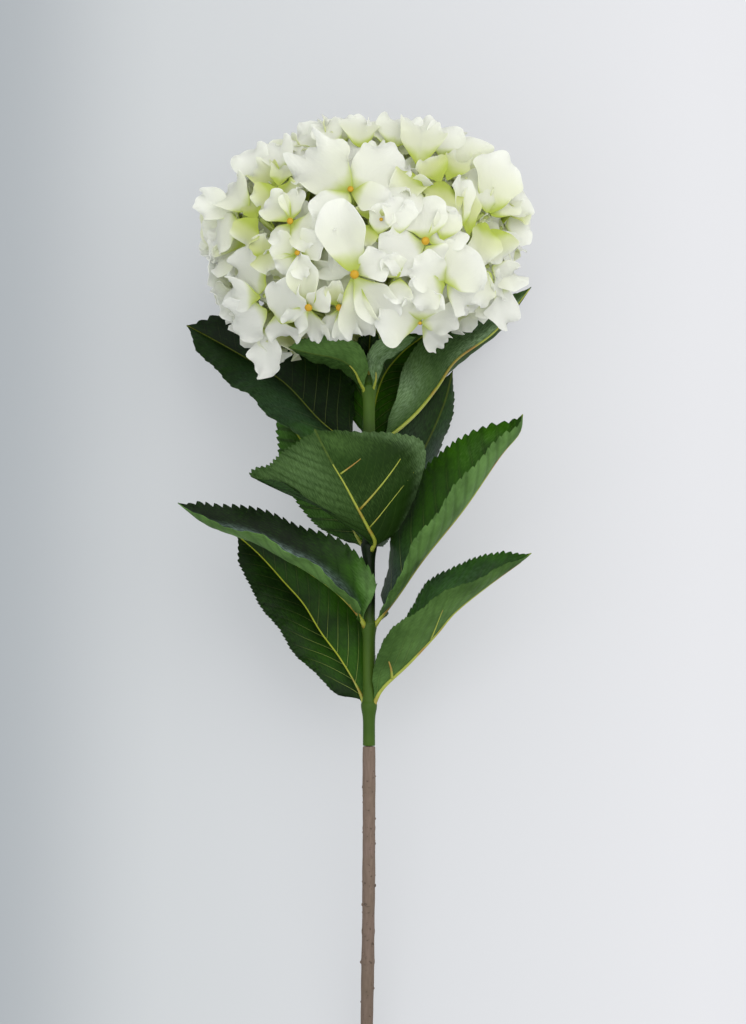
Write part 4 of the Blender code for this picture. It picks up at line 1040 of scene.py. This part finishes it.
# Dyed polyester silk: thin and matt, milky white, yellow-green at the claw with an edge that
# drifts over 14 mm, and pressed veins 1.1 mm apart. Light on one side glows through to the other.
silk_look, tree, shader = new_material("dyed_petal_silk", Roughness=0.6, IOR=1.46)
shader.inputs["Specular IOR Level"].default_value = 0.3
uv = add(tree, "UVMap", uv_map="petal_way").outputs[0]
outwards = add(tree, "SeparateXYZ", {0: uv}).outputs[1]
tint = add(tree, "Attribute", attribute_name="petal_tint").outputs["Fac"]
place = add(tree, "TexCoord").outputs["Object"]
drift = add(tree, "TexNoise", {"Vector": place, "Scale": cells(14.3), "Detail": 2.0}).outputs[0]
reach = add(tree, "Math", {0: drift, 1: 0.3, 2: outwards}, operation="MULTIPLY_ADD").outputs[0]
reach = add(tree, "Math", {0: tint, 1: -0.3, 2: reach}, operation="MULTIPLY_ADD").outputs[0]
claw = add(tree, "MapRange", {0: reach, 1: 0.08, 2: 0.4, 3: 1.0, 4: 0.0},
           interpolation_type="SMOOTHSTEP").outputs[0]
body = add(tree, "MapRange", {0: reach, 1: 0.35, 2: 1.1, 3: 1.0, 4: 0.0},
           interpolation_type="SMOOTHSTEP").outputs[0]
body = add(tree, "Math", {0: body, 1: tint}, operation="MULTIPLY").outputs[0]
tone = add(tree, "Mix", {0: body, 6: linear("#FCFDF9"), 7: linear("#E3E9A8")}, data_type="RGBA").outputs[2]
tone = add(tree, "Mix", {0: claw, 6: tone, 7: linear("#D2DF6E")}, data_type="RGBA").outputs[2]
tree.links.new(tone, shader.inputs["Base Color"])
fan = add(tree, "Mapping", {"Vector": uv, "Scale": (16.0, 1.5, 1.0)}).outputs[0]
veins = add(tree, "TexWave", {"Vector": fan, "Scale": 0.45, "Distortion": 3.0, "Detail": 2.0}).outputs[1]
weave = add(tree, "TexNoise", {"Vector": place, "Scale": cells(1.11), "Detail": 2.0}).outputs[0]
height = add(tree, "Math", {0: weave, 1: 0.6, 2: veins}, operation="MULTIPLY_ADD").outputs[0]
bump = add(tree, "Bump", {"Height": height, "Strength": 0.12, "Distance": 0.0004}).outputs[0]
tree.links.new(bump, shader.inputs["Normal"])
glow = add(tree, "BsdfTranslucent", {"Color": tone, "Normal": bump}).outputs[0]
silk = add(tree, "MixShader", {0: 0.55, 1: shader.outputs[0], 2: glow}).outputs[0]
surface = next(node for node in tree.nodes if node.type == "OUTPUT_MATERIAL").inputs[0]
tree.links.new(silk, surface)

# Moulded polystyrene bead: smooth, half gloss, orange-yellow with a faint mottle of 2 mm.
bead_look, tree, shader = new_material("moulded_bead_plastic", Roughness=0.5, IOR=1.5)
place = add(tree, "TexCoord").outputs["Object"]
mottle = add(tree, "TexNoise", {"Vector": place, "Scale": cells(2.0), "Detail": 2.0}).outputs[0]
tone = add(tree, "Mix", {0: mottle, 6: linear("#B08600"), 7: linear("#C89E04")},
           data_type="RGBA").outputs[2]
tree.links.new(tone, shader.inputs["Base Color"])

# Moulded stalk: the same soft polyethylene as the stem, left pale yellow-green, paler and deeper
# in turn over 11 mm.
stalk_look, tree, shader = new_material("pale_stalk_polyethylene", Roughness=0.5, IOR=1.5)
place = add(tree, "TexCoord").outputs["Object"]
shade = add(tree, "TexNoise", {"Vector": place, "Scale": cells(11.1), "Detail": 2.0}).outputs[0]
tone = add(tree, "Mix", {0: shade, 6: linear("#8FA043"), 7: linear("#C2CC7C")},
           data_type="RGBA").outputs[2]
tree.links.new(tone, shader.inputs["Base Color"])

petals, filling, beads, stalks = [bmesh.new() for _ in range(4)]
for work in (petals, filling):
    work.loops.layers.uv.new("petal_way")
    work.verts.layers.float.new("petal_tint")
fork = laid(0, FORK_S, 0)


def add_stalk(place):
    """A stalk from the fork at the stem's top to the back of a floret."""
    root = on_head(place * 0.97)
    bend = laid(place.x * 0.45, HEAD_S - 12.0 + place.y * 0.45, place.z * 0.45)
    points = [fork.lerp(bend, t) * (1 - t) + bend.lerp(root, t) * t for t, _ in STALK]
    tube(stalks, points, [radius * MM for _, radius in STALK], 6)


def add_bead(place, normal, size):
    """The bead at the middle of a floret, a little flattened."""
    ahead = (on_head(place + normal) - on_head(place)).normalized()
    across = ahead.orthogonal().normalized()
    other = ahead.cross(across)
    centre = on_head(place) + ahead * (0.9 * size * MM)
    for vert in bmesh.ops.create_icosphere(beads, subdivisions=2, radius=1.0)["verts"]:
        flat = across * vert.co.x + other * vert.co.y + ahead * vert.co.z * 0.7
        vert.co = centre + flat * (BEAD * size * MM)


# the floret that the head rests on
draw = random.Random(23)
rest = TABLE_WAY * (HEAD_HEIGHT - 0.45)
side = TABLE_WAY.orthogonal().normalized()
for petal in range(4):
    tip = Matrix.Rotation(0.4 + petal * math.pi / 2, 3, TABLE_WAY) @ side * REST_PETAL
    silk_petal(petals, rest, tip, TABLE_WAY, (1.0, 0.4, 0.1), draw, 8, 0.3, on_table)
add_stalk(rest * 0.98)

# the open florets, which face up more than the dome does
for x, s, tip_x, tip_s, off, tip_off, width, roll, hook, tint in FACE_PETALS:
    place, normal = over_dome(x, s, off - CLAW_SINK)
    tip = over_dome(tip_x, tip_s, tip_off)[0] - place
    normal = (normal + Vector((0.0, 0.0, 0.7))).normalized()
    silk_petal(petals, place, tip, normal, (width / tip.length, roll, hook), draw, 14, tint, on_head)
    add_stalk(place)
for x, s, off, size in FACE_BEADS:
    place, normal = over_dome(x, s, off)
    add_bead(place, (normal + Vector((0.0, 0.0, 0.6))).normalized(), size * FACE_BEAD)

# the small florets; about a third of them show their bead
for count, share, spacing, grain, dye_and_recess_shade in LAYERS:
    for place, normal in fill_seats(count, share, spacing, draw):
        if place.x > NOTCH_X and NOTCH_S[0] < place.y + HEAD_S < NOTCH_S[1]:
            place.x -= NOTCH_DEPTH
        side = normal.orthogonal().normalized()
        side = Matrix.Rotation(draw.uniform(0.0, math.pi), 3, normal) @ side
        opened = draw.uniform(0.2, 0.95)
        for petal in range(4):
            heading = petal * math.pi / 2 + draw.uniform(-0.2, 0.2)
            lift = opened + draw.uniform(-0.2, 0.2)
            tip = Matrix.Rotation(heading, 3, normal) @ side * math.cos(lift) + normal * math.sin(lift)
            tip *= PETAL_LENGTH * draw.uniform(0.78, 1.1) * (1.0 - 0.25 * max(0.0, normal.y))
            tip = tucked(place, tip)
            # deeper layers are tinted full yellow-green: dye, and painted shade for the recesses
            tint = min(1.0, dye_and_recess_shade + 0.8 * draw.uniform(0.0, 1.0) ** 3)
            shape = draw.uniform(0.8, 1.15), draw.uniform(0.3, 1.2), draw.uniform(-0.12, 0.26)
            silk_petal(filling, place, tip, normal, shape, draw, grain, tint, on_head)
        add_stalk(place)
        if draw.random() < 0.35:
            add_bead(place, normal, draw.uniform(0.7, 1.0))

for name, work in (("head_face_petals", petals), ("head_inner_petals", filling)):
    for edge in work.edges:
        edge.smooth = not edge.is_boundary
    silks = mesh_piece(name, work, silk_look)
    wall = silks.modifiers.new("silk", "SOLIDIFY")
    wall.thickness = SILK * MM
    wall.offset = 0.0
    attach(silks, "root")
    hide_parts("flower_head")
head_beads = mesh_piece("head_beads", beads, bead_look)
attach(head_beads, "root")
head_stalks = mesh_piece("head_stalks", stalks, stalk_look)
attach(head_stalks, "root")
